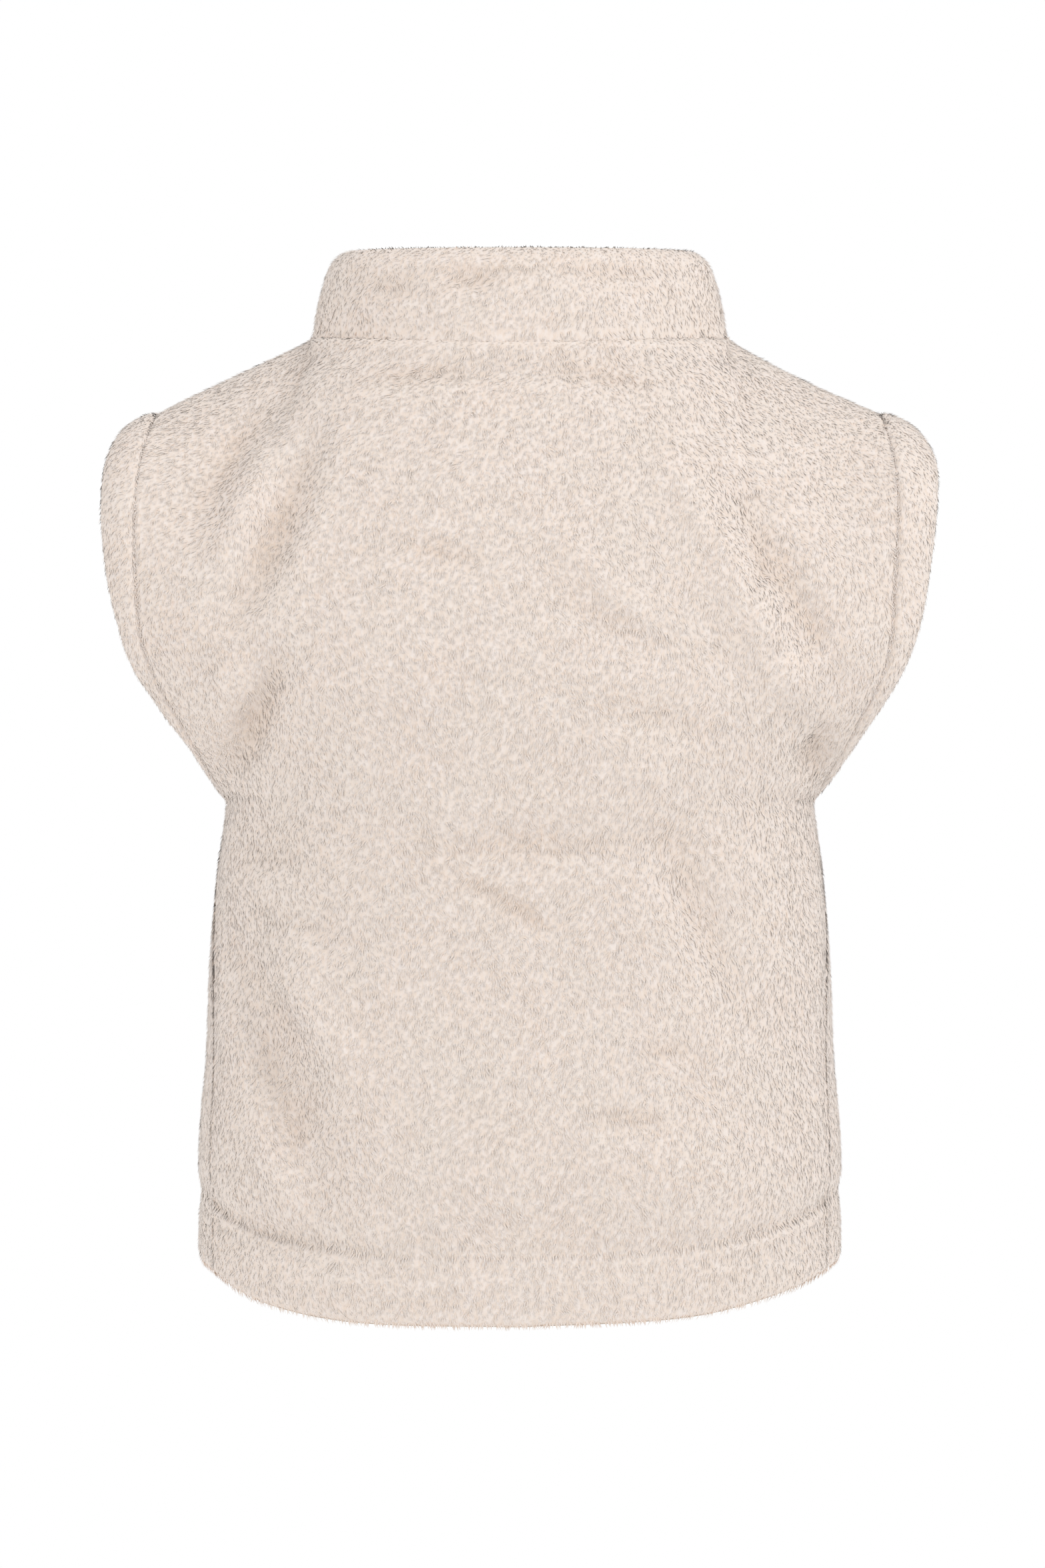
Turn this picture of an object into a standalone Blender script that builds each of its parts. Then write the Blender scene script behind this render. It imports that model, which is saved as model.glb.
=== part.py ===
# Faux fur vest, filled out as it is worn, hollow, with its neck, armholes and hem open.
# Metres, +Z up. The wearer faces -Y, so the wearer's left is +X.
# The origin lies on the body's middle line, level with the back of the neck seam.
# Each piece of cloth is a wall: its inner side is the backing, its outer side is where the pile ends.

import math

import bmesh
import bpy
import numpy as np
from mathutils import Matrix, Vector

# Cloth
WALL = 0.009              # backing and pile together
SEAM_GAP = 0.0003         # clear space between two pieces that are sewn together
SEAM_DIP = 0.0016         # how far the pile sinks in at the edge of a piece

# Neck seam, and the collar that stands on it
NECK_HALF_WIDTH = 0.1335
NECK_BACK_DEPTH = 0.076
NECK_FRONT_DEPTH = 0.098
NECK_BACK_Z = 0.001
NECK_SIDE_Z = 0.0095
NECK_FRONT_Z = -0.040
COLLAR_CORNER_DROP = 0.0040   # the collar's top corners at the centre front are rounded off
COLLAR_HEIGHT = {"back": 0.0615, "side": 0.0555, "front": 0.0620}

# Armholes: the seam where the turned-back band starts, and the band's own folded edge
UNDERARM_Z = -0.286
SHOULDER_SEAM_END_Z = -0.0365
SHOULDER_CROWN = {1: 0.0008, -1: -0.0018}   # how far the shoulder seams bow up, left and right
ARMHOLE_SEAM_DEPTH = 0.083
BAND_EDGE_BOTTOM_Z = -0.2490
BAND_EDGE_TOP_Z = -0.0530
BAND_EDGE_DEPTH = 0.070

# Hem: height of the turned-up edge's stitching above the hem
HEM_TURN_UP = 0.039
HEM_ROUNDING = 0.0035

# Centre front
FRONT_EDGE_X = 0.0046     # each front stops this far from the middle, for the zip
ZIP_TAPE_HALF_WIDTH = 0.0042
ZIP_TAPE_THICKNESS = 0.0022
ZIP_RECESS = 0.0040       # the zip lies this far below the pile's tips

# Zip slider, which stands near the top of the closed zip, and its pull tab
SLIDER_BELOW_TOP = 0.014
SLIDER_LENGTH = 0.0105
SLIDER_HALF_WIDTH = 0.0042
SLIDER_THICKNESS = 0.0026
ARCH_HALF_WIDTH = 0.0010
ARCH_REACH = (-0.0036, 0.0030)     # along the zip, from the hinge line
ARCH_BAR = 0.0012
ARCH_HEIGHT = 0.0034               # over the slider's face
HINGE_HEIGHT = 0.0011              # over the slider's face
PULL_HALF_WIDTH = 0.0031
PULL_LENGTH = 0.0290
PULL_THICKNESS = 0.0014
PULL_EYE_HALF_WIDTH = 0.0017
PULL_EYE_LENGTH = 0.0056
PULL_BAR = 0.0015                  # crossbar at the top of the pull tab, which turns in the arch
BOX_LENGTH = 0.0110
BOX_THICKNESS = 0.0026

# Shaping of the cloth, as shares of a panel's width (0 to 1) and of its rows (0 to 1 below the arms, 1 to 2 above)
FOLD_STRENGTH = 1.25            # all folds' heights are multiplied by this
FOLD_END_HEIGHT = 0.35          # share of a fold's height that is left at its two ends
FOLD_INSIDE_SHARE = 0.85        # how much of a fold shows on the inside
FOLDS_FADE_SIDE = (0.90, 1.0)
FOLDS_FADE_TOP = (1.86, 2.0)
FOLDS_FADE_FRONT_EDGE = (0.0, 0.12)
HEM_GROOVE = (0.0030, 0.0045)   # depth and half width of the stitched line over the hem
NECK_GROOVE = (0.0022, 0.0050)  # depth and half width of the crease under the collar seam
NECK_GROOVE_DROP = 0.0135       # how far under the collar seam that crease lies
NECK_GROOVE_FADE = (0.52, 0.68)
NECK_TILT = (28.0, 70.0)        # degrees from level that the cloth faces up at the middle and the side of the neck
NECK_TILT_FROM = 0.25           # share of the neck seam where that tilt starts to change
TOP_BLEND = (1.72, 2.0)         # rows over which the cloth turns to face the way the top seam faces
BESIDE_NECK = 0.14              # width, in shares, of the turn from the neck to the shoulder
OPENING_POWER = 2.3             # squareness of the armhole
FLAP_POWER = 2.5                # how late the cloth turns in towards the armhole seam
EDGE_CLIMB_POWER = 1.5          # how late the panel widens on its way up
CLOSE_SHARE = 0.95              # a place just inside the armhole seam
SIDE_SEAM_TURN = 0.25           # part of the armhole seam that turns from facing sideways
BAND_LEAN = 0.4                 # share of the band's width over which it turns to its own direction
SHARE_STEP = 0.004              # small steps for reading the slope of the cloth
TURN_STEP = 0.01
LENGTH_STEP = 0.004

# How finely the walls are divided
NECK_COLUMNS = 9          # from the middle to the side of the neck
SHOULDER_COLUMNS = 6      # from the side of the neck to the armhole
COLUMNS = NECK_COLUMNS + SHOULDER_COLUMNS
NECK_SHARE = NECK_COLUMNS / COLUMNS
UPPER_ROWS = 14
LOWER_ROWS = 11
HEM_ROWS = (0.0, 0.012, 0.026, 0.034, HEM_TURN_UP, 0.044, 0.056)

# Body sections below the arms: height, half width, depth of the back, depth of the front
BODY_SECTIONS = (
    (-0.620, 0.2035, 0.116, 0.119),
    (-0.570, 0.2045, 0.118, 0.121),
    (-0.514, 0.2050, 0.120, 0.124),
    (-0.480, 0.2030, 0.120, 0.126),
    (-0.446, 0.2000, 0.119, 0.128),
    (-0.378, 0.1975, 0.117, 0.129),
    (-0.327, 0.1930, 0.119, 0.132),
    (-0.286, 0.1880, 0.123, 0.136),
    (-0.200, 0.1860, 0.129, 0.142),
    (-0.100, 0.1860, 0.127, 0.136),
    (0.020, 0.1860, 0.124, 0.130),
)
SECTION_SQUARENESS = 2.45  # 2 is an ellipse

# Side seams, which lean to the back towards the hem: height, distance behind the middle of the side
SIDE_SEAM = ((-0.620, 0.052), (-0.480, 0.046), (-0.390, 0.030), (-0.320, 0.008), (-0.286, 0.000))

# Height of the hem from the middle (0) to the side seam (1): place, left, right
BACK_HEM = ((0.0, -0.6045, -0.6045), (0.5, -0.6025, -0.5995), (0.8, -0.5925, -0.5875), (1.0, -0.5775, -0.5765))
FRONT_HEM = ((0.0, -0.5900, -0.5900), (0.3, -0.5875, -0.5870), (0.6, -0.5790, -0.5780),
             (0.84, -0.5710, -0.5710), (1.0, -0.5775, -0.5765))

# Half width of the garment along the armhole seam and along the band's edge: height, left, right
ARMHOLE_SEAM = (
    (-0.2860, 0.1880, 0.1880),
    (-0.2640, 0.1990, 0.1995),
    (-0.2335, 0.2150, 0.2150),
    (-0.2000, 0.2320, 0.2290),
    (-0.1650, 0.2375, 0.2325),
    (-0.1200, 0.2395, 0.2345),
    (-0.0800, 0.2380, 0.2350),
    (-0.0365, 0.2310, 0.2290),
)
BAND_EDGE = (
    (-0.2490, 0.2025, 0.2060),
    (-0.2335, 0.2145, 0.2190),
    (-0.2166, 0.2325, 0.2330),
    (-0.1996, 0.2450, 0.2440),
    (-0.1826, 0.2510, 0.2500),
    (-0.1656, 0.2552, 0.2550),
    (-0.1486, 0.2594, 0.2575),
    (-0.1146, 0.2638, 0.2620),
    (-0.0890, 0.2645, 0.2645),
    (-0.0680, 0.2630, 0.2645),
    (-0.0530, 0.2580, 0.2590),
)

# Folds of the back: where each starts, bends and ends (across, up), its half width and its height,
# which is below zero for a trough. Across is positive on the wearer's left.
BACK_FOLDS = (
    ("left shoulder, outer trough", (0.150, -0.030), (0.184, -0.063), (0.204, -0.104), 0.013, -0.0050),
    ("left shoulder, ridge", (0.138, -0.034), (0.156, -0.083), (0.175, -0.131), 0.011, 0.0035),
    ("left shoulder, inner trough", (0.127, -0.063), (0.160, -0.141), (0.189, -0.213), 0.012, -0.0060),
    ("left underarm, deep trough", (0.150, -0.194), (0.173, -0.238), (0.179, -0.272), 0.013, -0.0085),
    ("left underarm, ridge", (0.168, -0.170), (0.178, -0.200), (0.190, -0.236), 0.010, 0.0035),
    ("right shoulder, long ridge", (-0.096, -0.078), (-0.150, -0.165), (-0.184, -0.233), 0.014, 0.0060),
    ("right shoulder, trough beside it", (-0.130, -0.085), (-0.172, -0.165), (-0.192, -0.214), 0.013, -0.0050),
    ("right underarm, pocket", (-0.178, -0.230), (-0.186, -0.250), (-0.186, -0.270), 0.012, -0.0080),
    ("waist crease", (0.064, -0.314), (-0.010, -0.318), (-0.098, -0.312), 0.008, -0.0028),
    ("waist roll above it", (0.050, -0.296), (-0.020, -0.298), (-0.085, -0.296), 0.011, 0.0020),
    ("right waist trough", (-0.097, -0.305), (-0.122, -0.350), (-0.146, -0.412), 0.018, -0.0040),
    ("left side trough", (0.180, -0.350), (0.158, -0.420), (0.120, -0.520), 0.021, -0.0095),
    ("left side ridge", (0.152, -0.360), (0.130, -0.410), (0.104, -0.462), 0.017, 0.0045),
    ("left side waist trough", (0.186, -0.300), (0.158, -0.312), (0.126, -0.316), 0.011, -0.0030),
    ("crease above the hem", (0.078, -0.546), (0.000, -0.549), (-0.077, -0.545), 0.008, -0.0018),
    ("left hem trough", (0.176, -0.545), (0.150, -0.556), (0.110, -0.560), 0.015, -0.0050),
    ("right hem swell", (-0.050, -0.500), (-0.110, -0.515), (-0.160, -0.520), 0.026, 0.0030),
)
# Folds of the fronts, like those of the back but for their places.
FRONT_LEFT_FOLDS = (
    ("shoulder trough", (0.150, -0.045), (0.176, -0.095), (0.196, -0.150), 0.013, -0.0050),
    ("shoulder ridge", (0.120, -0.060), (0.150, -0.125), (0.178, -0.185), 0.013, 0.0040),
    ("underarm trough", (0.130, -0.205), (0.160, -0.235), (0.180, -0.262), 0.014, -0.0070),
    ("chest drape", (0.050, -0.120), (0.078, -0.180), (0.118, -0.225), 0.020, -0.0030),
    ("waist crease", (0.030, -0.335), (0.085, -0.330), (0.140, -0.316), 0.009, -0.0028),
    ("side trough", (0.150, -0.350), (0.130, -0.430), (0.100, -0.510), 0.022, -0.0065),
    ("edge swell", (0.030, -0.380), (0.034, -0.460), (0.040, -0.540), 0.020, 0.0030),
)
FRONT_RIGHT_FOLDS = (
    ("shoulder trough", (-0.146, -0.040), (-0.180, -0.090), (-0.202, -0.140), 0.012, -0.0045),
    ("shoulder ridge", (-0.112, -0.070), (-0.152, -0.140), (-0.180, -0.200), 0.013, 0.0045),
    ("underarm trough", (-0.138, -0.190), (-0.166, -0.230), (-0.182, -0.262), 0.014, -0.0075),
    ("chest drape", (-0.046, -0.140), (-0.080, -0.210), (-0.125, -0.250), 0.020, -0.0030),
    ("waist crease", (-0.026, -0.322), (-0.080, -0.328), (-0.130, -0.322), 0.009, -0.0028),
    ("side trough", (-0.160, -0.360), (-0.146, -0.440), (-0.124, -0.520), 0.021, -0.0060),
    ("hem swell", (-0.040, -0.470), (-0.070, -0.520), (-0.090, -0.560), 0.022, 0.0035),
)

# Collar from its seam up and over to its inside: height as a share of the collar, distance in from the seam
COLLAR_OUTSIDE = ((0.16, 0.0016), (0.36, 0.0034), (0.56, 0.0062), (0.74, 0.0092), (0.90, 0.0142))
COLLAR_TOP = (1.00, 0.0232)
COLLAR_INSIDE = ((0.92, 0.0315), (0.70, 0.0330), (0.42, 0.0270), (0.15, 0.0215), (-0.06, 0.0190))

# Band from its seam out to its folded edge and back inside: share of its width, height over the cloth
BAND_OUTSIDE = ((0.16, 0.0016), (0.50, 0.0028), (0.82, 0.0010))
BAND_FOLD = (1.00, -0.0048)
BAND_INSIDE = ((0.80, -0.0104), (0.45, -0.0102))

# Colours and finish: red, green and blue as light, then roughness and metallic
FINISHES = {
    "fur_back": ((0.77, 0.67, 0.60), 0.92, 0.0),
    "fur_front": ((0.78, 0.68, 0.61), 0.92, 0.0),
    "fur_collar": ((0.79, 0.69, 0.62), 0.92, 0.0),
    "fur_band": ((0.80, 0.71, 0.64), 0.92, 0.0),
    "zip_cloth": ((0.66, 0.57, 0.50), 0.75, 0.0),
    "zip_metal": ((0.74, 0.66, 0.52), 0.32, 1.0),
}


def clear_scene():
    for item in list(bpy.data.objects):
        bpy.data.objects.remove(item, do_unlink=True)


def make_finish(name):
    colour, roughness, metallic = FINISHES[name]
    finish = bpy.data.materials.new(name)
    finish.use_nodes = True
    shader = finish.node_tree.nodes["Principled BSDF"]
    shader.inputs["Base Color"].default_value = (*colour, 1.0)
    shader.inputs["Roughness"].default_value = roughness
    shader.inputs["Metallic"].default_value = metallic
    finish.diffuse_color = (*colour, 1.0)
    return finish


def add_solid(name, points, faces, finish, smooth_angle=35.0):
    mesh = bpy.data.meshes.new(name)
    mesh.from_pydata([tuple(p) for p in points], [], faces)
    mesh.materials.append(make_finish(finish))
    mesh.shade_smooth()
    mesh.set_sharp_from_angle(angle=math.radians(smooth_angle))
    solid = bpy.data.objects.new(name, mesh)
    bpy.context.scene.collection.objects.link(solid)
    return solid


def smooth_table(table, at, column=1):
    """A smooth curve through one column of a table, read at a place along its first column."""
    places = [row[0] for row in table]
    values = [row[column] for row in table]
    if at <= places[0]:
        return values[0]
    if at >= places[-1]:
        return values[-1]
    k = max(i for i in range(len(places) - 1) if places[i] <= at)

    def slope(i):
        low, high = max(i - 1, 0), min(i + 1, len(places) - 1)
        return (values[high] - values[low]) / (places[high] - places[low])

    width = places[k + 1] - places[k]
    u = (at - places[k]) / width
    rise = values[k + 1] - values[k]
    a = slope(k) * width - rise
    b = rise - slope(k + 1) * width
    return values[k] + u * rise + u * (1 - u) * (a * (1 - u) + b * u)


def ease(low, high, at):
    u = min(max((at - low) / (high - low), 0.0), 1.0)
    return u * u * (3 - 2 * u)


def unit(vector):
    return vector / np.linalg.norm(vector)


# The body's section at a height, from the middle of the back round one side to the middle of the front
SECTION_ANGLES = np.linspace(0.0, math.pi, 361)


def section(z):
    half_width = smooth_table(BODY_SECTIONS, z, 1)
    depth_back = smooth_table(BODY_SECTIONS, z, 2)
    depth_front = smooth_table(BODY_SECTIONS, z, 3)
    power = 2.0 / SECTION_SQUARENESS
    across = half_width * np.abs(np.sin(SECTION_ANGLES)) ** power
    cosines = np.cos(SECTION_ANGLES)
    depth = np.where(cosines > 0, depth_back, depth_front)
    along = depth * np.sign(cosines) * np.abs(cosines) ** power
    lengths = np.concatenate(([0.0], np.cumsum(np.hypot(np.diff(across), np.diff(along)))))
    return across, along, lengths


def seam_length(z, across, along, lengths):
    """How far round the section the side seam lies."""
    behind = smooth_table(SIDE_SEAM, z)
    side = np.argmax(across)
    return np.interp(-behind, -along[side // 2:side + 2], lengths[side // 2:side + 2])


def section_point(panel, share, z):
    across, along, lengths = section(z)
    seam = seam_length(z, across, along, lengths)
    if panel == "back":
        place = share * (seam - SEAM_GAP / 2)
    else:
        start = np.interp(-FRONT_EDGE_X, -across[180:], lengths[180:])
        place = start + share * (seam + SEAM_GAP / 2 - start)
    return np.array([np.interp(place, lengths, across), np.interp(place, lengths, along), z])


def seam_normal(z):
    across, along, lengths = section(z)
    seam = seam_length(z, across, along, lengths)
    near = [np.array([np.interp(seam + d, lengths, across), np.interp(seam + d, lengths, along)])
            for d in (-LENGTH_STEP, LENGTH_STEP)]
    run = unit(near[1] - near[0])
    return np.array([-run[1], run[0], 0.0])


def neck_point(panel, share):
    """A point of the neck seam, from the middle (0) to the side of the neck (1)."""
    if panel == "back":
        angle = share * math.pi / 2
        depth, middle_z = NECK_BACK_DEPTH, NECK_BACK_Z
    else:
        start = math.asin(FRONT_EDGE_X / NECK_HALF_WIDTH)
        angle = start + share * (math.pi / 2 - start)
        depth, middle_z = -NECK_FRONT_DEPTH, NECK_FRONT_Z
    z = middle_z + (NECK_SIDE_Z - middle_z) * math.sin(angle) ** 2
    return np.array([NECK_HALF_WIDTH * math.sin(angle), depth * math.cos(angle), z])


def neck_outward(panel, share):
    """Level direction away from the neck, square to the neck seam."""
    depth = NECK_BACK_DEPTH if panel == "back" else NECK_FRONT_DEPTH
    point = neck_point(panel, share)
    return unit(np.array([point[0] / NECK_HALF_WIDTH ** 2, point[1] / depth ** 2, 0.0]))


def neck_normal(panel, share):
    """Outward direction of the cloth where it meets the neck seam."""
    tilt = math.radians(NECK_TILT[0] + (NECK_TILT[1] - NECK_TILT[0]) * ease(NECK_TILT_FROM, 1.0, share))
    return math.cos(tilt) * neck_outward(panel, share) + math.sin(tilt) * np.array([0, 0, 1.0])


def top_point(panel, side, share):
    """The top edge of a panel: the neck seam, then the shoulder seam out to the armhole."""
    if share <= NECK_SHARE:
        return neck_point(panel, share / NECK_SHARE)
    u = (share - NECK_SHARE) / (1 - NECK_SHARE)
    start = neck_point(panel, 1.0)
    end_x = smooth_table(ARMHOLE_SEAM, SHOULDER_SEAM_END_Z, 1 if side > 0 else 2)
    crown = SHOULDER_CROWN[side] * math.sin(math.pi * u)
    return np.array([start[0] + u * (end_x - start[0]), 0.0,
                     start[2] + u * (SHOULDER_SEAM_END_Z - start[2]) + crown])


def opening_shape(rise):
    """Half depth of an armhole, as a share, at a share of its height."""
    return math.sqrt(max(1 - abs(2 * rise - 1) ** OPENING_POWER, 0.0))


def armhole_seam_point(panel, side, rise):
    z = UNDERARM_Z + rise * (SHOULDER_SEAM_END_Z - UNDERARM_Z)
    x = smooth_table(ARMHOLE_SEAM, z, 1 if side > 0 else 2)
    facing = 1 if panel == "back" else -1
    return np.array([x, facing * ARMHOLE_SEAM_DEPTH * opening_shape(rise), z])


def band_edge_point(panel, side, rise):
    z = BAND_EDGE_BOTTOM_Z + rise * (BAND_EDGE_TOP_Z - BAND_EDGE_BOTTOM_Z)
    x = smooth_table(BAND_EDGE, z, 1 if side > 0 else 2)
    facing = 1 if panel == "back" else -1
    return np.array([x, facing * BAND_EDGE_DEPTH * opening_shape(rise), z])


def armhole_seam_normal(panel, side, turn):
    """Outward direction along the armhole seam, which halves the bend between the panel and the band."""
    def seam_at(place):
        return armhole_seam_point(panel, side, turn_to_rise(place))

    facing = 1 if panel == "back" else -1
    seam = seam_at(turn)
    if turn == 0.0:
        run = np.array([0.0, facing, 0.0])
    elif turn == 1.0:
        run = np.array([0.0, -facing, 0.0])
    else:
        run = seam_at(min(turn + TURN_STEP, 1.0)) - seam_at(max(turn - TURN_STEP, 0.0))
    into_band = band_edge_point(panel, side, turn_to_rise(turn)) - seam
    from_panel = seam - upper_point(panel, side, CLOSE_SHARE, turn)
    normal = facing * (unit(np.cross(run, into_band)) + unit(np.cross(run, from_panel)))
    above_side_seam = ease(0.0, SIDE_SEAM_TURN, turn)
    return unit(unit(normal) * above_side_seam + np.array([1.0 - above_side_seam, 0.0, 0.0]))


def turn_to_rise(turn):
    """Share of the height over the underarm, with the rows closer together at its two ends."""
    return (1 - math.cos(math.pi * turn)) / 2


def upper_point(panel, side, share, turn):
    """A point above the arms. The turn runs from 0 level with the underarm to 1 at the top edge."""
    rise = turn_to_rise(turn)
    facing = 1 if panel == "back" else -1
    low = section_point(panel, share, UNDERARM_Z)
    top = top_point(panel, side, share)
    z = UNDERARM_Z + rise * (top[2] - UNDERARM_Z)
    depth_column = 2 if panel == "back" else 3
    growth = smooth_table(BODY_SECTIONS, z, depth_column) / smooth_table(BODY_SECTIONS, UNDERARM_Z, depth_column)
    over_shoulder = ease(0.0, NECK_SHARE, share)
    round_off = (1 - over_shoulder) * (1 - rise ** 3) + over_shoulder * math.sqrt(1 - rise * rise)
    closed_y = top[1] + (low[1] * growth - top[1]) * round_off
    middle_y = section_point(panel, 0.0, UNDERARM_Z)[1]
    flap = share ** FLAP_POWER
    open_y = middle_y * growth * (1 - flap) + facing * ARMHOLE_SEAM_DEPTH * flap
    open_y = top[1] + (open_y - top[1]) * (1 + (round_off - 1) * (1 - share ** 6))
    openness = opening_shape(rise) ** (1 + 3 * (1 - share))
    y = closed_y + (open_y - closed_y) * openness
    edge_low = section_point(panel, 1.0, UNDERARM_Z)
    edge_top = top_point(panel, side, 1.0)
    plain_edge_x = edge_low[0] + (edge_top[0] - edge_low[0]) * rise ** EDGE_CLIMB_POWER
    edge = armhole_seam_point(panel, side, rise)
    x = low[0] + (top[0] - low[0]) * rise ** EDGE_CLIMB_POWER
    x += (edge[0] - plain_edge_x) * share ** (2 + 6 * (1 - rise) ** 4)
    return np.array([x, y, z])


def hem_z(panel, side, share):
    return smooth_table(BACK_HEM if panel == "back" else FRONT_HEM, share, 1 if side > 0 else 2)


def hem_to_underarm(panel, side, share):
    return UNDERARM_Z - hem_z(panel, side, share)


def plain_point(panel, side, share, row):
    """A point of the cloth's outer side before its folds. Rows 0 to 1 are below the arms, 1 to 2 above."""
    if row <= 1:
        point = section_point(panel, share, hem_z(panel, side, share) + row * hem_to_underarm(panel, side, share))
    else:
        point = upper_point(panel, side, share, row - 1)
    point[0] *= side
    return point


def plain_normal(panel, side, share, row):
    """Outward direction of the cloth before its folds."""
    if share >= 1 and row <= 1:
        normal = seam_normal(plain_point(panel, side, 1.0, row)[2])
        normal[0] *= side
        return normal
    if share >= 1:
        normal = armhole_seam_normal(panel, side, row - 1)
        normal[0] *= side
        return normal
    low_share, high_share = max(share - SHARE_STEP, 0.0), min(share + SHARE_STEP, 1.0)
    low_row, high_row = max(row - SHARE_STEP, 0.0), min(row + SHARE_STEP, 2.0)
    run = plain_point(panel, side, high_share, row) - plain_point(panel, side, low_share, row)
    if panel == "back" and share == 0:
        run = np.array([side, 0.0, 0.0])
    climb = plain_point(panel, side, share, high_row) - plain_point(panel, side, share, low_row)
    normal = unit(np.cross(run, climb))
    if (panel == "back") == (side > 0):
        normal = -normal
    near_top = ease(*TOP_BLEND, row)
    if share <= NECK_SHARE:
        wanted = neck_normal(panel, share / NECK_SHARE)
        wanted[0] *= side
        normal = unit(normal * (1 - near_top) + wanted * near_top)
    else:
        level = np.array([normal[0], normal[1] * (1 - near_top), normal[2]])
        beside_neck = 1 - ease(NECK_SHARE, NECK_SHARE + BESIDE_NECK, share)
        wanted = neck_normal(panel, 1.0)
        wanted[0] *= side
        wanted[1] = 0.0
        level = unit(level)
        weight = near_top * beside_neck
        normal = unit(level * (1 - weight) + unit(wanted) * weight)
    return normal


def fold_height(folds, x, z):
    """How far the folds lift the cloth at a place, from the nearest point of each fold's bent line."""
    total = 0.0
    for _, start, bend, end, half_width, height in folds:
        along = np.linspace(0.0, 1.0, 13)[:, None]
        line = ((1 - along) ** 2 * start + 2 * along * (1 - along) * np.array(bend) + along ** 2 * end)
        away = np.hypot(line[:, 0] - x, line[:, 1] - z)
        nearest = int(np.argmin(away))
        taper = FOLD_END_HEIGHT + (1 - FOLD_END_HEIGHT) * math.sin(math.pi * nearest / 12)
        total += height * taper * math.exp(-(away[nearest] / half_width) ** 2)
    return FOLD_STRENGTH * total


def lift(panel, side, share, row):
    """Height of the folds and the stitched grooves over the plain cloth."""
    folds = {"back": BACK_FOLDS, 1: FRONT_LEFT_FOLDS, -1: FRONT_RIGHT_FOLDS}["back" if panel == "back" else side]
    point = plain_point(panel, side, share, row)
    shown = 1 - ease(*FOLDS_FADE_SIDE, share)
    shown *= 1 - ease(*FOLDS_FADE_TOP, row)
    if panel == "front":
        shown *= ease(*FOLDS_FADE_FRONT_EDGE, share)
    total = shown * fold_height(folds, point[0], point[2])
    if row <= 1:
        height = row * hem_to_underarm(panel, side, share)
        total -= HEM_GROOVE[0] * math.exp(-((height - HEM_TURN_UP) / HEM_GROOVE[1]) ** 2)
    if panel == "back" and row > 1:
        below_neck = top_point(panel, side, share)[2] - point[2]
        groove = NECK_GROOVE[0] * math.exp(-((below_neck - NECK_GROOVE_DROP) / NECK_GROOVE[1]) ** 2)
        total -= groove * (1 - ease(*NECK_GROOVE_FADE, share))
    if share >= 1 or row >= 2:
        total -= SEAM_DIP
    return total


def row_places():
    """Rows of the grid as (height over the hem, or none, and the row number from 0 to 2)."""
    heights = [("hem", h) for h in HEM_ROWS]
    heights += [("share", k / LOWER_ROWS) for k in range(1, LOWER_ROWS + 1)]
    heights += [("row", 1 + k / UPPER_ROWS) for k in range(1, UPPER_ROWS + 1)]
    return heights


def row_number(panel, side, share, place):
    kind, value = place
    whole = hem_to_underarm(panel, side, share)
    if kind == "hem":
        return value / whole
    if kind == "share":
        start = HEM_ROWS[-1]
        return (start + value * (whole - start)) / whole
    return value


def wall_points(panel, side, share, place):
    """The outer and inner points of the cloth at one place of the grid."""
    row = row_number(panel, side, share, place)
    point = plain_point(panel, side, share, row)
    normal = plain_normal(panel, side, share, row)
    height = lift(panel, side, share, row)
    seam = share >= 1 or row >= 2
    inner_height = 0.0 if seam else FOLD_INSIDE_SHARE * height
    outer = point + height * normal
    inner = point + (inner_height - WALL) * normal
    if row >= 2 and share > NECK_SHARE:
        shift = SEAM_GAP / 2 if panel == "back" else -SEAM_GAP / 2
        outer[1] = shift
        inner[1] = shift
    return outer, inner


def panel_columns(panel, side):
    """Grid columns as (side, share), in order across the panel."""
    shares = [k / COLUMNS for k in range(COLUMNS + 1)]
    if panel == "back":
        return [(-1, s) for s in reversed(shares[1:])] + [(1, s) for s in shares]
    return [(side, s) for s in shares]


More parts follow.
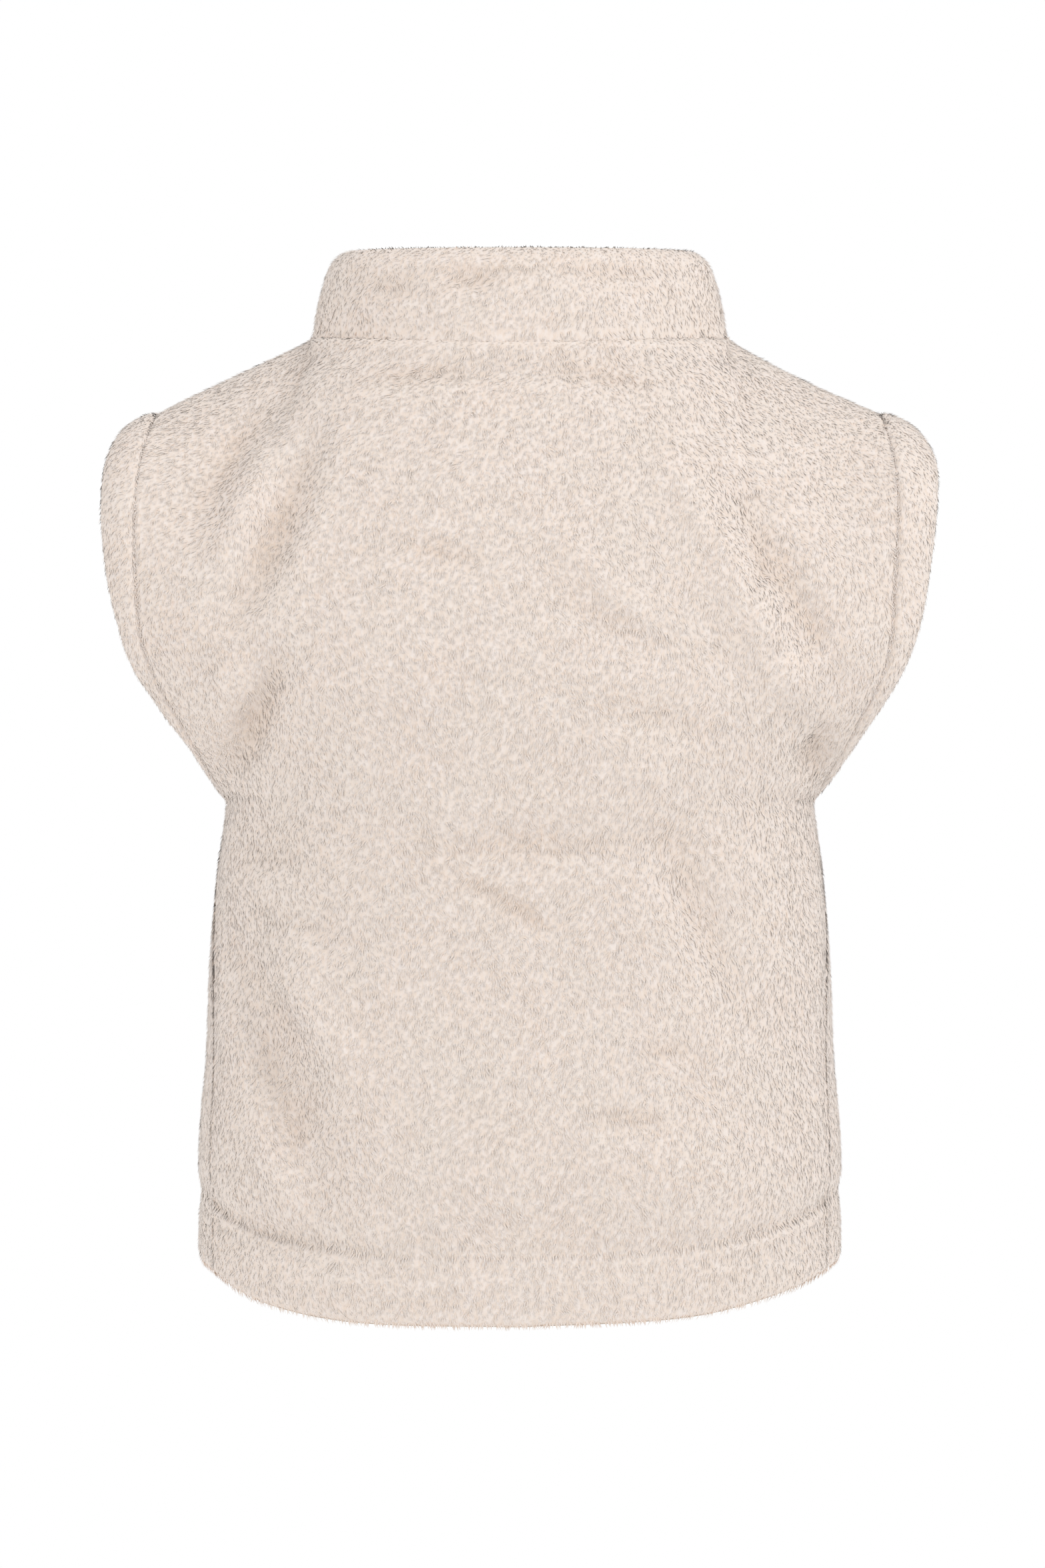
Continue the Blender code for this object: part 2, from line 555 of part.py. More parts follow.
def add_panel(name, panel, side, finish):
    """A wall of cloth: outer and inner grids, with a rounded rim along the hem and plain rims elsewhere."""
    columns = panel_columns(panel, side)
    places = row_places()
    points = []
    wide, tall = len(columns), len(places)
    for place in places:
        for column_side, share in columns:
            points.extend(wall_points(panel, column_side, share, place))

    def outer(i, j):
        return 2 * (j * wide + i)

    def inner(i, j):
        return 2 * (j * wide + i) + 1

    hem_rim = []
    for i in range(wide):
        middle = 0.5 * (points[outer(i, 0)] + points[inner(i, 0)])
        hem_rim.append(len(points))
        points.append(middle - np.array([0.0, 0.0, HEM_ROUNDING]))
    faces = []
    for j in range(tall - 1):
        for i in range(wide - 1):
            faces.append((outer(i, j), outer(i + 1, j), outer(i + 1, j + 1), outer(i, j + 1)))
            faces.append((inner(i, j), inner(i, j + 1), inner(i + 1, j + 1), inner(i + 1, j)))
    for i in range(wide - 1):
        faces.append((outer(i, 0), hem_rim[i], hem_rim[i + 1], outer(i + 1, 0)))
        faces.append((hem_rim[i], inner(i, 0), inner(i + 1, 0), hem_rim[i + 1]))
        faces.append((outer(i, tall - 1), outer(i + 1, tall - 1), inner(i + 1, tall - 1), inner(i, tall - 1)))
    last = wide - 1
    for j in range(tall - 1):
        faces.append((outer(0, j), outer(0, j + 1), inner(0, j + 1)))
        faces.append((outer(0, j), inner(0, j + 1), inner(0, j)))
        faces.append((outer(last, j), inner(last, j), inner(last, j + 1)))
        faces.append((outer(last, j), inner(last, j + 1), outer(last, j + 1)))
    faces.append((outer(0, 0), inner(0, 0), hem_rim[0]))
    faces.append((outer(last, 0), hem_rim[last], inner(last, 0)))
    faces_out = (panel == "front") == (side > 0)
    if not faces_out:
        faces = [tuple(reversed(face)) for face in faces]
    return add_solid(name, points, faces, finish)


def loop_faces(rings, closed):
    """Faces between rings of points that all have the same count, with flat ends when the loop is open."""
    count = len(rings[0])
    faces = []
    last = len(rings) if closed else len(rings) - 1
    for k in range(last):
        here, there = k * count, ((k + 1) % len(rings)) * count
        for i in range(count):
            following = (i + 1) % count
            faces.append((here + i, here + following, there + following, there + i))
    if not closed:
        faces.append(tuple(range(count))[::-1])
        faces.append(tuple((len(rings) - 1) * count + i for i in range(count)))
    return faces


def outward_faces(points, faces):
    """The faces turned so that the volume they close is positive."""
    volume = 0.0
    for face in faces:
        for i in range(1, len(face) - 1):
            volume += np.dot(points[face[0]], np.cross(points[face[i]], points[face[i + 1]]))
    return faces if volume > 0 else [tuple(reversed(face)) for face in faces]


def collar_height(panel, share):
    middle = COLLAR_HEIGHT[panel]
    return middle + (COLLAR_HEIGHT["side"] - middle) * ease(0.0, 1.0, share)


def collar_ring(panel, side, share):
    seam = neck_point(panel, share)
    away = neck_outward(panel, share)
    cloth = neck_normal(panel, share)
    up = np.array([0.0, 0.0, 1.0])
    into_collar = math.sqrt(1 - cloth[2] ** 2) * up - cloth[2] * away
    height = collar_height(panel, share)
    if panel == "front":
        height -= COLLAR_CORNER_DROP * (1 - ease(0.0, 0.13, share))
    base = seam + SEAM_GAP * into_collar

    def level(point_share, inward):
        return base + up * height * point_share - away * inward

    ring = [base - SEAM_DIP * cloth]
    ring += [level(h, d) for h, d in COLLAR_OUTSIDE]
    ring.append(level(*COLLAR_TOP))
    ring += [level(h, d) for h, d in COLLAR_INSIDE]
    ring.append(base - WALL * cloth)
    for point in ring:
        point[0] = max(point[0], FRONT_EDGE_X) if panel == "front" and share == 0 else point[0]
        point[0] *= side
    return ring


def add_collar():
    shares = [k / NECK_COLUMNS for k in range(NECK_COLUMNS + 1)]
    rings = [collar_ring("front", -1, s) for s in shares]
    rings += [collar_ring("back", -1, s) for s in reversed(shares[:-1])]
    rings += [collar_ring("back", 1, s) for s in shares[1:]]
    rings += [collar_ring("front", 1, s) for s in reversed(shares[:-1])]
    points = [point for ring in rings for point in ring]
    return add_solid("collar", points, outward_faces(points, loop_faces(rings, closed=False)), "fur_collar")


def band_ring(panel, side, turn):
    """One section of an armhole band, from the seam out to the folded edge and back on the inside."""
    rise = turn_to_rise(turn)
    seam = plain_point(panel, side, 1.0, 1 + turn)
    cloth = plain_normal(panel, side, 1.0, 1 + turn)
    edge = band_edge_point(panel, side, rise)
    edge[0] *= side
    at_end = turn in (0.0, 1.0)
    if at_end:
        seam[1] = 0.0
        edge[1] = 0.0
    reach = edge - seam
    out = unit(reach)
    low, high = max(turn - TURN_STEP, 0.0), min(turn + TURN_STEP, 1.0)
    run = unit(plain_point(panel, side, 1.0, 1 + high) - plain_point(panel, side, 1.0, 1 + low))
    if at_end:
        run = np.array([0.0, 1.0, 0.0])
    beyond = unit(np.cross(run, cloth))
    if np.dot(beyond, out) < 0:
        beyond = -beyond
    lean = unit(cloth - np.dot(cloth, out) * out)
    start = seam + SEAM_GAP * beyond

    def place(width_share, height):
        weight = ease(0.0, BAND_LEAN, width_share)
        across = unit(cloth * (1 - weight) + lean * weight)
        return start + (edge - start) * width_share + across * height

    ring = [start - SEAM_DIP * cloth]
    ring += [place(w, h) for w, h in BAND_OUTSIDE]
    ring.append(place(*BAND_FOLD))
    ring += [place(w, h) for w, h in BAND_INSIDE]
    ring.append(start - WALL * cloth)
    return ring


def add_band(name, side):
    turns = [k / UPPER_ROWS for k in range(UPPER_ROWS + 1)]
    rings = [band_ring("back", side, turn) for turn in turns]
    rings += [band_ring("front", side, turn) for turn in reversed(turns[1:-1])]
    points = [point for ring in rings for point in ring]
    faces = loop_faces(rings, closed=True)
    count = len(rings[0])
    for k in range(len(rings)):
        rim = (k + 1) * count - 1
        here_inner, here_outer, there_outer, there_inner = faces[rim]
        if k < UPPER_ROWS:
            faces[rim] = (here_inner, here_outer, there_inner)
            faces.append((here_outer, there_outer, there_inner))
        else:
            faces[rim] = (here_inner, here_outer, there_outer)
            faces.append((here_inner, there_outer, there_inner))
    return add_solid(name, points, outward_faces(points, faces), "fur_band")


def front_edge_line():
    """The middle of the front from hem to collar top, as (outer point, outward direction) pairs."""
    line = []
    for place in row_places():
        row = row_number("front", 1, 0.0, place)
        if row >= 1.98:
            continue
        point = plain_point("front", 1, 0.0, row)
        low = plain_point("front", 1, 0.0, max(row - 0.01, 0.0))
        high = plain_point("front", 1, 0.0, min(row + 0.01, 2.0))
        climb = unit(high - low)
        line.append((np.array([0.0, point[1], point[2]]), np.array([0.0, -climb[2], climb[1]])))
    ring = collar_ring("front", 1, 0.0)
    outside = ring[1:1 + len(COLLAR_OUTSIDE)]
    for k in range(len(outside)):
        climb = unit(outside[min(k + 1, len(outside) - 1)] - outside[max(k - 1, 0)])
        line.append((np.array([0.0, outside[k][1], outside[k][2]]), unit(np.array([0.0, -climb[2], climb[1]]))))
    return line


def add_zip_tape():
    rings = []
    for outer, out in front_edge_line():
        front = outer - ZIP_RECESS * out
        back = front - ZIP_TAPE_THICKNESS * out
        rings.append([front + [-ZIP_TAPE_HALF_WIDTH, 0, 0], front + [ZIP_TAPE_HALF_WIDTH, 0, 0],
                      back + [ZIP_TAPE_HALF_WIDTH, 0, 0], back + [-ZIP_TAPE_HALF_WIDTH, 0, 0]])
    points = [point for ring in rings for point in ring]
    return add_solid("zip_tape", points, outward_faces(points, loop_faces(rings, closed=False)), "zip_cloth")


def zip_place(line, from_top):
    """A place on the zip's face, as a matrix whose axes run across, up along the zip, and outwards."""
    points = [outer for outer, _ in line]
    runs = [np.linalg.norm(points[i + 1] - points[i]) for i in range(len(points) - 1)]
    k, left = len(runs) - 1, from_top
    while left > runs[k]:
        left -= runs[k]
        k -= 1
    share = left / runs[k]
    outer = points[k + 1] + (points[k] - points[k + 1]) * share
    along = Vector(unit(points[k + 1] - points[k]))
    across = Vector((1.0, 0.0, 0.0))
    out = across.cross(along)
    face = Vector(outer) + out * (SEAM_GAP - ZIP_RECESS)
    place = Matrix((across, along, out)).transposed().to_4x4()
    place.translation = face
    return place


def slab(name, outline, low, high):
    """A flat piece: an outline of (across, along) points, between two heights over the zip's face."""
    form = bmesh.new()
    floor = [form.verts.new((x, y, low)) for x, y in outline]
    face = form.faces.new(floor)
    top = bmesh.ops.extrude_face_region(form, geom=[face])
    raised = [v for v in top["geom"] if isinstance(v, bmesh.types.BMVert)]
    bmesh.ops.translate(form, verts=raised, vec=(0.0, 0.0, high - low))
    bmesh.ops.recalc_face_normals(form, faces=form.faces)
    mesh = bpy.data.meshes.new(name)
    form.to_mesh(mesh)
    form.free()
    piece = bpy.data.objects.new(name, mesh)
    bpy.context.scene.collection.objects.link(piece)
    return piece


def combine(piece, other, operation):
    """Joins another piece to this one, or cuts it away. The other stays as a guide that isn't part of the vest."""
    step = piece.modifiers.new(operation.lower(), "BOOLEAN")
    step.operation = operation
    step.solver = "EXACT"
    step.object = other
    other.hide_render = True
    other.display_type = "WIRE"


def finish_metal(piece, place, bevel):
    piece.data.materials.append(make_finish("zip_metal"))
    rounding = piece.modifiers.new("rounded edges", "BEVEL")
    rounding.width = bevel
    rounding.segments = 1
    rounding.limit_method = "ANGLE"
    piece.matrix_world = place


def corner_points(half_width, low, high, corner):
    """A rectangle with cut corners, as (across, along) points."""
    return [(-half_width + corner, low), (half_width - corner, low), (half_width, low + corner),
            (half_width, high - corner), (half_width - corner, high), (-half_width + corner, high),
            (-half_width, high - corner), (-half_width, low + corner)]


def add_slider(line):
    place = zip_place(line, SLIDER_BELOW_TOP)
    low, high = ARCH_REACH
    nose = 0.55 * SLIDER_HALF_WIDTH
    outline = [(-nose, -0.62 * SLIDER_LENGTH), (nose, -0.62 * SLIDER_LENGTH),
               (SLIDER_HALF_WIDTH, 0.05 * SLIDER_LENGTH), (0.9 * SLIDER_HALF_WIDTH, 0.38 * SLIDER_LENGTH),
               (-0.9 * SLIDER_HALF_WIDTH, 0.38 * SLIDER_LENGTH), (-SLIDER_HALF_WIDTH, 0.05 * SLIDER_LENGTH)]
    slider = slab("zip_slider", outline, 0.0, SLIDER_THICKNESS)
    sunk = 0.0004
    arch_outline = [(low, -sunk), (low + ARCH_BAR, -sunk), (low + ARCH_BAR, ARCH_HEIGHT - ARCH_BAR),
                    (high - ARCH_BAR, ARCH_HEIGHT - ARCH_BAR), (high - ARCH_BAR, -sunk), (high, -sunk),
                    (high, ARCH_HEIGHT - 0.5 * ARCH_BAR), (high - 0.5 * ARCH_BAR, ARCH_HEIGHT),
                    (low + 0.5 * ARCH_BAR, ARCH_HEIGHT), (low, ARCH_HEIGHT - 0.5 * ARCH_BAR)]
    arch = slab("zip_slider_arch", arch_outline, -ARCH_HALF_WIDTH, ARCH_HALF_WIDTH)
    turned = Matrix(((0, 0, 1, 0), (1, 0, 0, 0), (0, 1, 0, SLIDER_THICKNESS), (0, 0, 0, 1)))
    arch.data.transform(turned)
    arch.matrix_world = place
    combine(slider, arch, "UNION")
    finish_metal(slider, place, 0.0003)


def add_pull(line):
    place = zip_place(line, SLIDER_BELOW_TOP)
    place.translation += place.to_3x3() @ Vector((0.0, 0.0, SLIDER_THICKNESS + HINGE_HEIGHT))
    half_bar, half_thickness = PULL_BAR / 2, PULL_THICKNESS / 2
    outline = corner_points(PULL_HALF_WIDTH, half_bar - PULL_LENGTH, half_bar, 0.0010)
    pull = slab("zip_pull", outline, -half_thickness, half_thickness)
    eye_outline = corner_points(PULL_EYE_HALF_WIDTH, -half_bar - PULL_EYE_LENGTH, -half_bar, 0.0004)
    eye = slab("zip_pull_eye", eye_outline, -PULL_THICKNESS, PULL_THICKNESS)
    eye.matrix_world = place
    combine(pull, eye, "DIFFERENCE")
    finish_metal(pull, place, 0.0003)


def add_box(line):
    length = sum(np.linalg.norm(line[i + 1][0] - line[i][0]) for i in range(len(line) - 1))
    place = zip_place(line, length - BOX_LENGTH)
    outline = corner_points(SLIDER_HALF_WIDTH, -BOX_LENGTH + 0.001, 0.0, 0.0012)
    box = slab("zip_box", outline, 0.0, BOX_THICKNESS)
    finish_metal(box, place, 0.0003)


clear_scene()
add_panel("back", "back", 1, "fur_back")
add_panel("front_left", "front", 1, "fur_front")
add_panel("front_right", "front", -1, "fur_front")
add_collar()
add_band("armhole_band_left", 1)
add_band("armhole_band_right", -1)
add_zip_tape()
zip_line = front_edge_line()
add_slider(zip_line)
add_pull(zip_line)
add_box(zip_line)
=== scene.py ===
import math

import bmesh
import bpy
import numpy as np
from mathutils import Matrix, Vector
from mathutils.bvhtree import BVHTree
from mathutils.kdtree import KDTree


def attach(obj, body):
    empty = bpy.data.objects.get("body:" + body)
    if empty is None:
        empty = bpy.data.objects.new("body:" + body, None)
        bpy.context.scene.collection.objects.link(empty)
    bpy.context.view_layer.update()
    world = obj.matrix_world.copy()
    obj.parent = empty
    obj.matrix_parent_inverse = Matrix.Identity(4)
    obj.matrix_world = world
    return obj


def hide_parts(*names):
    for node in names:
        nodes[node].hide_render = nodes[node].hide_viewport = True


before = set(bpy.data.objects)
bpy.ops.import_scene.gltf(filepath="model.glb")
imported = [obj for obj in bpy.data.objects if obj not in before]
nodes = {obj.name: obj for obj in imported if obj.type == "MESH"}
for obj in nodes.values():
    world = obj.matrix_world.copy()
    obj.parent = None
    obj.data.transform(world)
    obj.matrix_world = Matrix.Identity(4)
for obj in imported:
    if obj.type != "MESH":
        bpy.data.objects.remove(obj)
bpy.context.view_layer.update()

# Faux fur vest seen from behind: metres, +Z up, the wearer faces -Y and the wearer's left is +X.
print("vest: frame loaded")


# Small helpers
def onlySelect(piece):
    bpy.ops.object.select_all(action="DESELECT")
    piece.select_set(True)
    bpy.context.view_layer.objects.active = piece


def unitRows(rows):
    lengths = np.linalg.norm(rows, axis=1, keepdims=True)
    return rows / np.maximum(lengths, 1e-9)


def rowDots(a, b):
    return np.sum(a * b, axis=1, keepdims=True)


def easeBetween(low, high, at):
    u = np.clip((at - low) / (high - low), 0.0, 1.0)
    return u * u * (3 - 2 * u)


def slowNoise(points, size, seed):
    # smooth ups and downs about one size across, mostly between -1 and 1
    waveCount, shortest, longest, level = 9, 1.3, 3.0, 3.2
    dice = np.random.default_rng(seed)
    total = np.zeros(len(points))
    for _ in range(waveCount):
        direction = unitRows(dice.normal(size=(1, 3)))[0]
        wave = direction * 2 * math.pi / (size * dice.uniform(shortest, longest))
        total += np.sin(points @ wave + dice.uniform(0, 2 * math.pi))
    return total / level


def readPoints(mesh):
    points = np.empty(len(mesh.vertices) * 3)
    mesh.vertices.foreach_get("co", points)
    return points.reshape(-1, 3)


def solidTree(nodeName):
    mesh = nodes[nodeName].data
    return BVHTree.FromPolygons([v.co for v in mesh.vertices], [p.vertices for p in mesh.polygons])


# Finishes: all procedural, on Object coordinates or on the locks' own attribute
def newMaterial(name):
    material = bpy.data.materials.new(name)
    material.use_nodes = True
    tree = material.node_tree
    shader = tree.nodes["Principled BSDF"]
    return material, tree, shader


def addNode(tree, kind, **settings):
    node = tree.nodes.new(kind)
    for key, value in settings.items():
        setattr(node, key, value)
    return node


def objectPlaces(tree, stretch=(1, 1, 1)):
    place = addNode(tree, "ShaderNodeTexCoord")
    mapping = addNode(tree, "ShaderNodeMapping")
    mapping.inputs["Scale"].default_value = stretch
    tree.links.new(place.outputs["Object"], mapping.inputs["Vector"])
    return mapping.outputs["Vector"]


def addNoise(tree, scale, detail=2.0, stretch=(1, 1, 1)):
    noise = addNode(tree, "ShaderNodeTexNoise")
    noise.inputs["Scale"].default_value = scale
    noise.inputs["Detail"].default_value = detail
    tree.links.new(objectPlaces(tree, stretch), noise.inputs["Vector"])
    return noise


def mapTo(tree, source, fromLow, fromHigh, toLow, toHigh):
    node = addNode(tree, "ShaderNodeMapRange")
    node.inputs["From Min"].default_value = fromLow
    node.inputs["From Max"].default_value = fromHigh
    node.inputs["To Min"].default_value = toLow
    node.inputs["To Max"].default_value = toHigh
    tree.links.new(source, node.inputs["Value"])
    return node.outputs["Result"]


def mixColours(tree, factor, first, second, blend="MIX"):
    # a colour Mix node has its factor in socket 0, its colours in 6 and 7, and the result in output 2
    node = addNode(tree, "ShaderNodeMix", data_type="RGBA", blend_type=blend)
    for value, socket in ((factor, node.inputs[0]), (first, node.inputs[6]), (second, node.inputs[7])):
        if isinstance(value, bpy.types.NodeSocket):
            tree.links.new(value, socket)
        elif isinstance(value, tuple):
            socket.default_value = (*value, 1.0)
        else:
            socket.default_value = value
    return node.outputs[2]


def addBump(tree, shader, height, strength, distance):
    bump = addNode(tree, "ShaderNodeBump")
    bump.inputs["Strength"].default_value = strength
    bump.inputs["Distance"].default_value = distance
    tree.links.new(height, bump.inputs["Height"])
    tree.links.new(bump.outputs["Normal"], shader.inputs["Normal"])


furColours = {
    "tip": (0.955, 0.883, 0.842),
    "middle": (0.945, 0.858, 0.808),
    # darker and warmer at the roots: partly the fibres' own colour, partly painted shade deep in the
    # pile
    "root": (0.89, 0.755, 0.655),
    # the warm darkening colour: laid on in random clouds, where the pile is parted, and as painted
    # shade in troughs
    "warm": (0.90, 0.82, 0.745),
    "underPile": (0.94, 0.848, 0.793),
    # the tone mark's brightness range, which holds painted light on ridges as well as random tone
    "darkest": 0.965,
    "lightest": 1.035,
    # the most warm darkening: for the parted pile, random clouds and painted shade in troughs
    "warmest": 0.75,
    "sheen": 0.6,
    "sheenRoughness": 0.5,
    "sheenTint": (1.0, 0.95, 0.90, 1.0),
    "specular": 0.12,
}


def readLock(tree):
    # the pile's own marks: place along a lock, tone (with painted light on ridges), how warm and dark
    # the pile is made (where it is parted, in random clouds on the locks, and as painted shade in
    # troughs), and the strands' number
    lock = addNode(tree, "ShaderNodeAttribute", attribute_name="lock")
    parts = addNode(tree, "ShaderNodeSeparateColor")
    tree.links.new(lock.outputs["Color"], parts.inputs["Color"])
    return parts.outputs[0], parts.outputs[1], parts.outputs[2], lock.outputs["Alpha"]


def toneWithPaintedFoldShading(tree, colour, tone, parted):
    # brightness from the tone mark, which holds random tone and painted light on ridges; then a warm
    # darkening from the parting mark, which holds the parted pile, random clouds on the locks and
    # painted shade in troughs
    shade = addNode(tree, "ShaderNodeCombineColor")
    brightness = mapTo(tree, tone, 0.0, 1.0, furColours["darkest"], furColours["lightest"])
    for channel in range(3):
        tree.links.new(brightness, shade.inputs[channel])
    colour = mixColours(tree, 1.0, colour, shade.outputs["Color"], "MULTIPLY")
    warmth = mapTo(tree, parted, 0.0, 1.0, 0.0, furColours["warmest"])
    return mixColours(tree, warmth, colour, furColours["warm"], "MULTIPLY")


def softenShader(shader):
    shader.inputs["Sheen Weight"].default_value = furColours["sheen"]
    shader.inputs["Sheen Roughness"].default_value = furColours["sheenRoughness"]
    shader.inputs["Sheen Tint"].default_value = furColours["sheenTint"]
    shader.inputs["Specular IOR Level"].default_value = furColours["specular"]


def furFinish(name, warmth=0.35):
    material, tree, shader = newMaterial(name)
    along, tone, parted, strandNumber = readLock(tree)
    toMiddle = mapTo(tree, along, 0.45, 0.75, 0.0, 1.0)
    lower = mixColours(tree, toMiddle, furColours["root"], furColours["middle"])
    toTip = mapTo(tree, along, 0.70, 0.95, 0.0, 1.0)
    colour = mixColours(tree, toTip, lower, furColours["tip"])
    strands = addNode(tree, "ShaderNodeMath", operation="PINGPONG")
    tree.links.new(strandNumber, strands.inputs[0])
    strands.inputs[1].default_value = 1.0
    between = mapTo(tree, strands.outputs["Value"], 0.0, 0.55, 0.30, 0.0)
    colour = mixColours(tree, between, colour, furColours["root"])
    clouds = addNoise(tree, 14.0, 3.0)
    cloudy = mapTo(tree, clouds.outputs["Fac"], 0.40, 0.70, 0.0, warmth)
    colour = mixColours(tree, cloudy, colour, furColours["warm"])
    # painted light on ridges and painted shade in troughs, with random tone and the parted pile's
    # warmth
    colour = toneWithPaintedFoldShading(tree, colour, tone, parted)
    tree.links.new(colour, shader.inputs["Base Color"])
    tree.links.new(mapTo(tree, tone, 0.0, 1.0, 0.62, 0.82), shader.inputs["Roughness"])
    addBump(tree, shader, strands.outputs["Value"], 0.10, 0.0002)
    softenShader(shader)
    return material


def underPileFinish():
    material, tree, shader = newMaterial("vestUnderPile")
    tone, parted = readLock(tree)[1:3]
    streaks = addNoise(tree, 480.0, 4.0, (1.0, 1.0, 0.45))
    clouds = addNoise(tree, 30.0, 2.0)
    streaky = mapTo(tree, streaks.outputs["Fac"], 0.35, 0.68, 0.0, 1.0)
    colour = mixColours(tree, streaky, furColours["root"], furColours["underPile"])
    cloudy = mapTo(tree, clouds.outputs["Fac"], 0.35, 0.70, 0.0, 0.3)
    colour = mixColours(tree, cloudy, colour, furColours["warm"])
    # painted light on ridges and painted shade in troughs, with random tone and the parted pile's
    # warmth
    colour = toneWithPaintedFoldShading(tree, colour, tone, parted)
    tree.links.new(colour, shader.inputs["Base Color"])
    rough = mapTo(tree, streaks.outputs["Fac"], 0.3, 0.7, 0.95, 0.75)
    tree.links.new(rough, shader.inputs["Roughness"])
    addBump(tree, shader, streaks.outputs["Fac"], 0.4, 0.0006)
    softenShader(shader)
    return material


backingColours = {"loop": (0.80, 0.70, 0.60), "gap": (0.60, 0.49, 0.39), "cloud": (0.74, 0.63, 0.53)}


def backingFinish():
    material, tree, shader = newMaterial("vestKnitBacking")
    loops = addNode(tree, "ShaderNodeTexVoronoi")
    loops.inputs["Scale"].default_value = 620.0
    loops.inputs["Randomness"].default_value = 0.35
    tree.links.new(objectPlaces(tree, (1.0, 1.0, 0.75)), loops.inputs["Vector"])
    clouds = addNoise(tree, 25.0, 3.0)
    toGap = mapTo(tree, loops.outputs["Distance"], 0.0, 0.8, 0.0, 1.0)
    colour = mixColours(tree, toGap, backingColours["loop"], backingColours["gap"])
    cloudy = mapTo(tree, clouds.outputs["Fac"], 0.35, 0.70, 0.0, 0.4)
    colour = mixColours(tree, cloudy, colour, backingColours["cloud"])
    tree.links.new(colour, shader.inputs["Base Color"])
    rough = mapTo(tree, loops.outputs["Distance"], 0.0, 0.8, 0.72, 0.92)
    tree.links.new(rough, shader.inputs["Roughness"])
    addBump(tree, shader, mapTo(tree, loops.outputs["Distance"], 0.0, 0.8, 1.0, 0.0), 0.8, 0.0005)
    shader.inputs["Sheen Weight"].default_value = 0.25
    return material


tapeColours = {"dark": (0.60, 0.49, 0.39), "light": (0.76, 0.66, 0.56), "fibre": (0.68, 0.57, 0.47)}


def tapeFinish():
    material, tree, shader = newMaterial("zipTapeWeave")
    weave = addNode(tree, "ShaderNodeTexWave", wave_type="BANDS", bands_direction="DIAGONAL")
    weave.inputs["Scale"].default_value = 420.0
    weave.inputs["Distortion"].default_value = 0.6
    tree.links.new(objectPlaces(tree), weave.inputs["Vector"])
    fibres = addNoise(tree, 1500.0, 2.0)
    colour = mixColours(tree, weave.outputs["Fac"], tapeColours["dark"], tapeColours["light"])
    fibrous = mapTo(tree, fibres.outputs["Fac"], 0.3, 0.7, 0.0, 0.35)
    colour = mixColours(tree, fibrous, colour, tapeColours["fibre"])
    tree.links.new(colour, shader.inputs["Base Color"])
    tree.links.new(mapTo(tree, fibres.outputs["Fac"], 0.3, 0.7, 0.65, 0.85), shader.inputs["Roughness"])
    addBump(tree, shader, weave.outputs["Fac"], 0.7, 0.0003)
    shader.inputs["Sheen Weight"].default_value = 0.2
    return material


metalColours = {"bright": (0.83, 0.73, 0.56), "worn": (0.74, 0.63, 0.46)}


def metalFinish():
    material, tree, shader = newMaterial("zipPaleGoldMetal")
    brushed = addNoise(tree, 500.0, 3.0, (3.0, 3.0, 0.25))
    worn = addNoise(tree, 160.0, 2.0)
    toWorn = mapTo(tree, worn.outputs["Fac"], 0.35, 0.70, 0.0, 1.0)
    colour = mixColours(tree, toWorn, metalColours["bright"], metalColours["worn"])
    tree.links.new(colour, shader.inputs["Base Color"])
    rough = mapTo(tree, brushed.outputs["Fac"], 0.3, 0.7, 0.22, 0.40)
    tree.links.new(rough, shader.inputs["Roughness"])
    addBump(tree, shader, brushed.outputs["Fac"], 0.25, 0.00008)
    shader.inputs["Metallic"].default_value = 1.0
    return material


finishes = {
    "fur_back": furFinish("furBack"),
    "fur_front": furFinish("furFront", 0.30),
    "fur_collar": furFinish("furCollar", 0.20),
    "fur_band": furFinish("furArmholeBand", 0.15),
    "underPile": underPileFinish(),
    "backing": backingFinish(),
    "zip_cloth": tapeFinish(),
    "zip_metal": metalFinish(),
}
print("vest: finishes made")
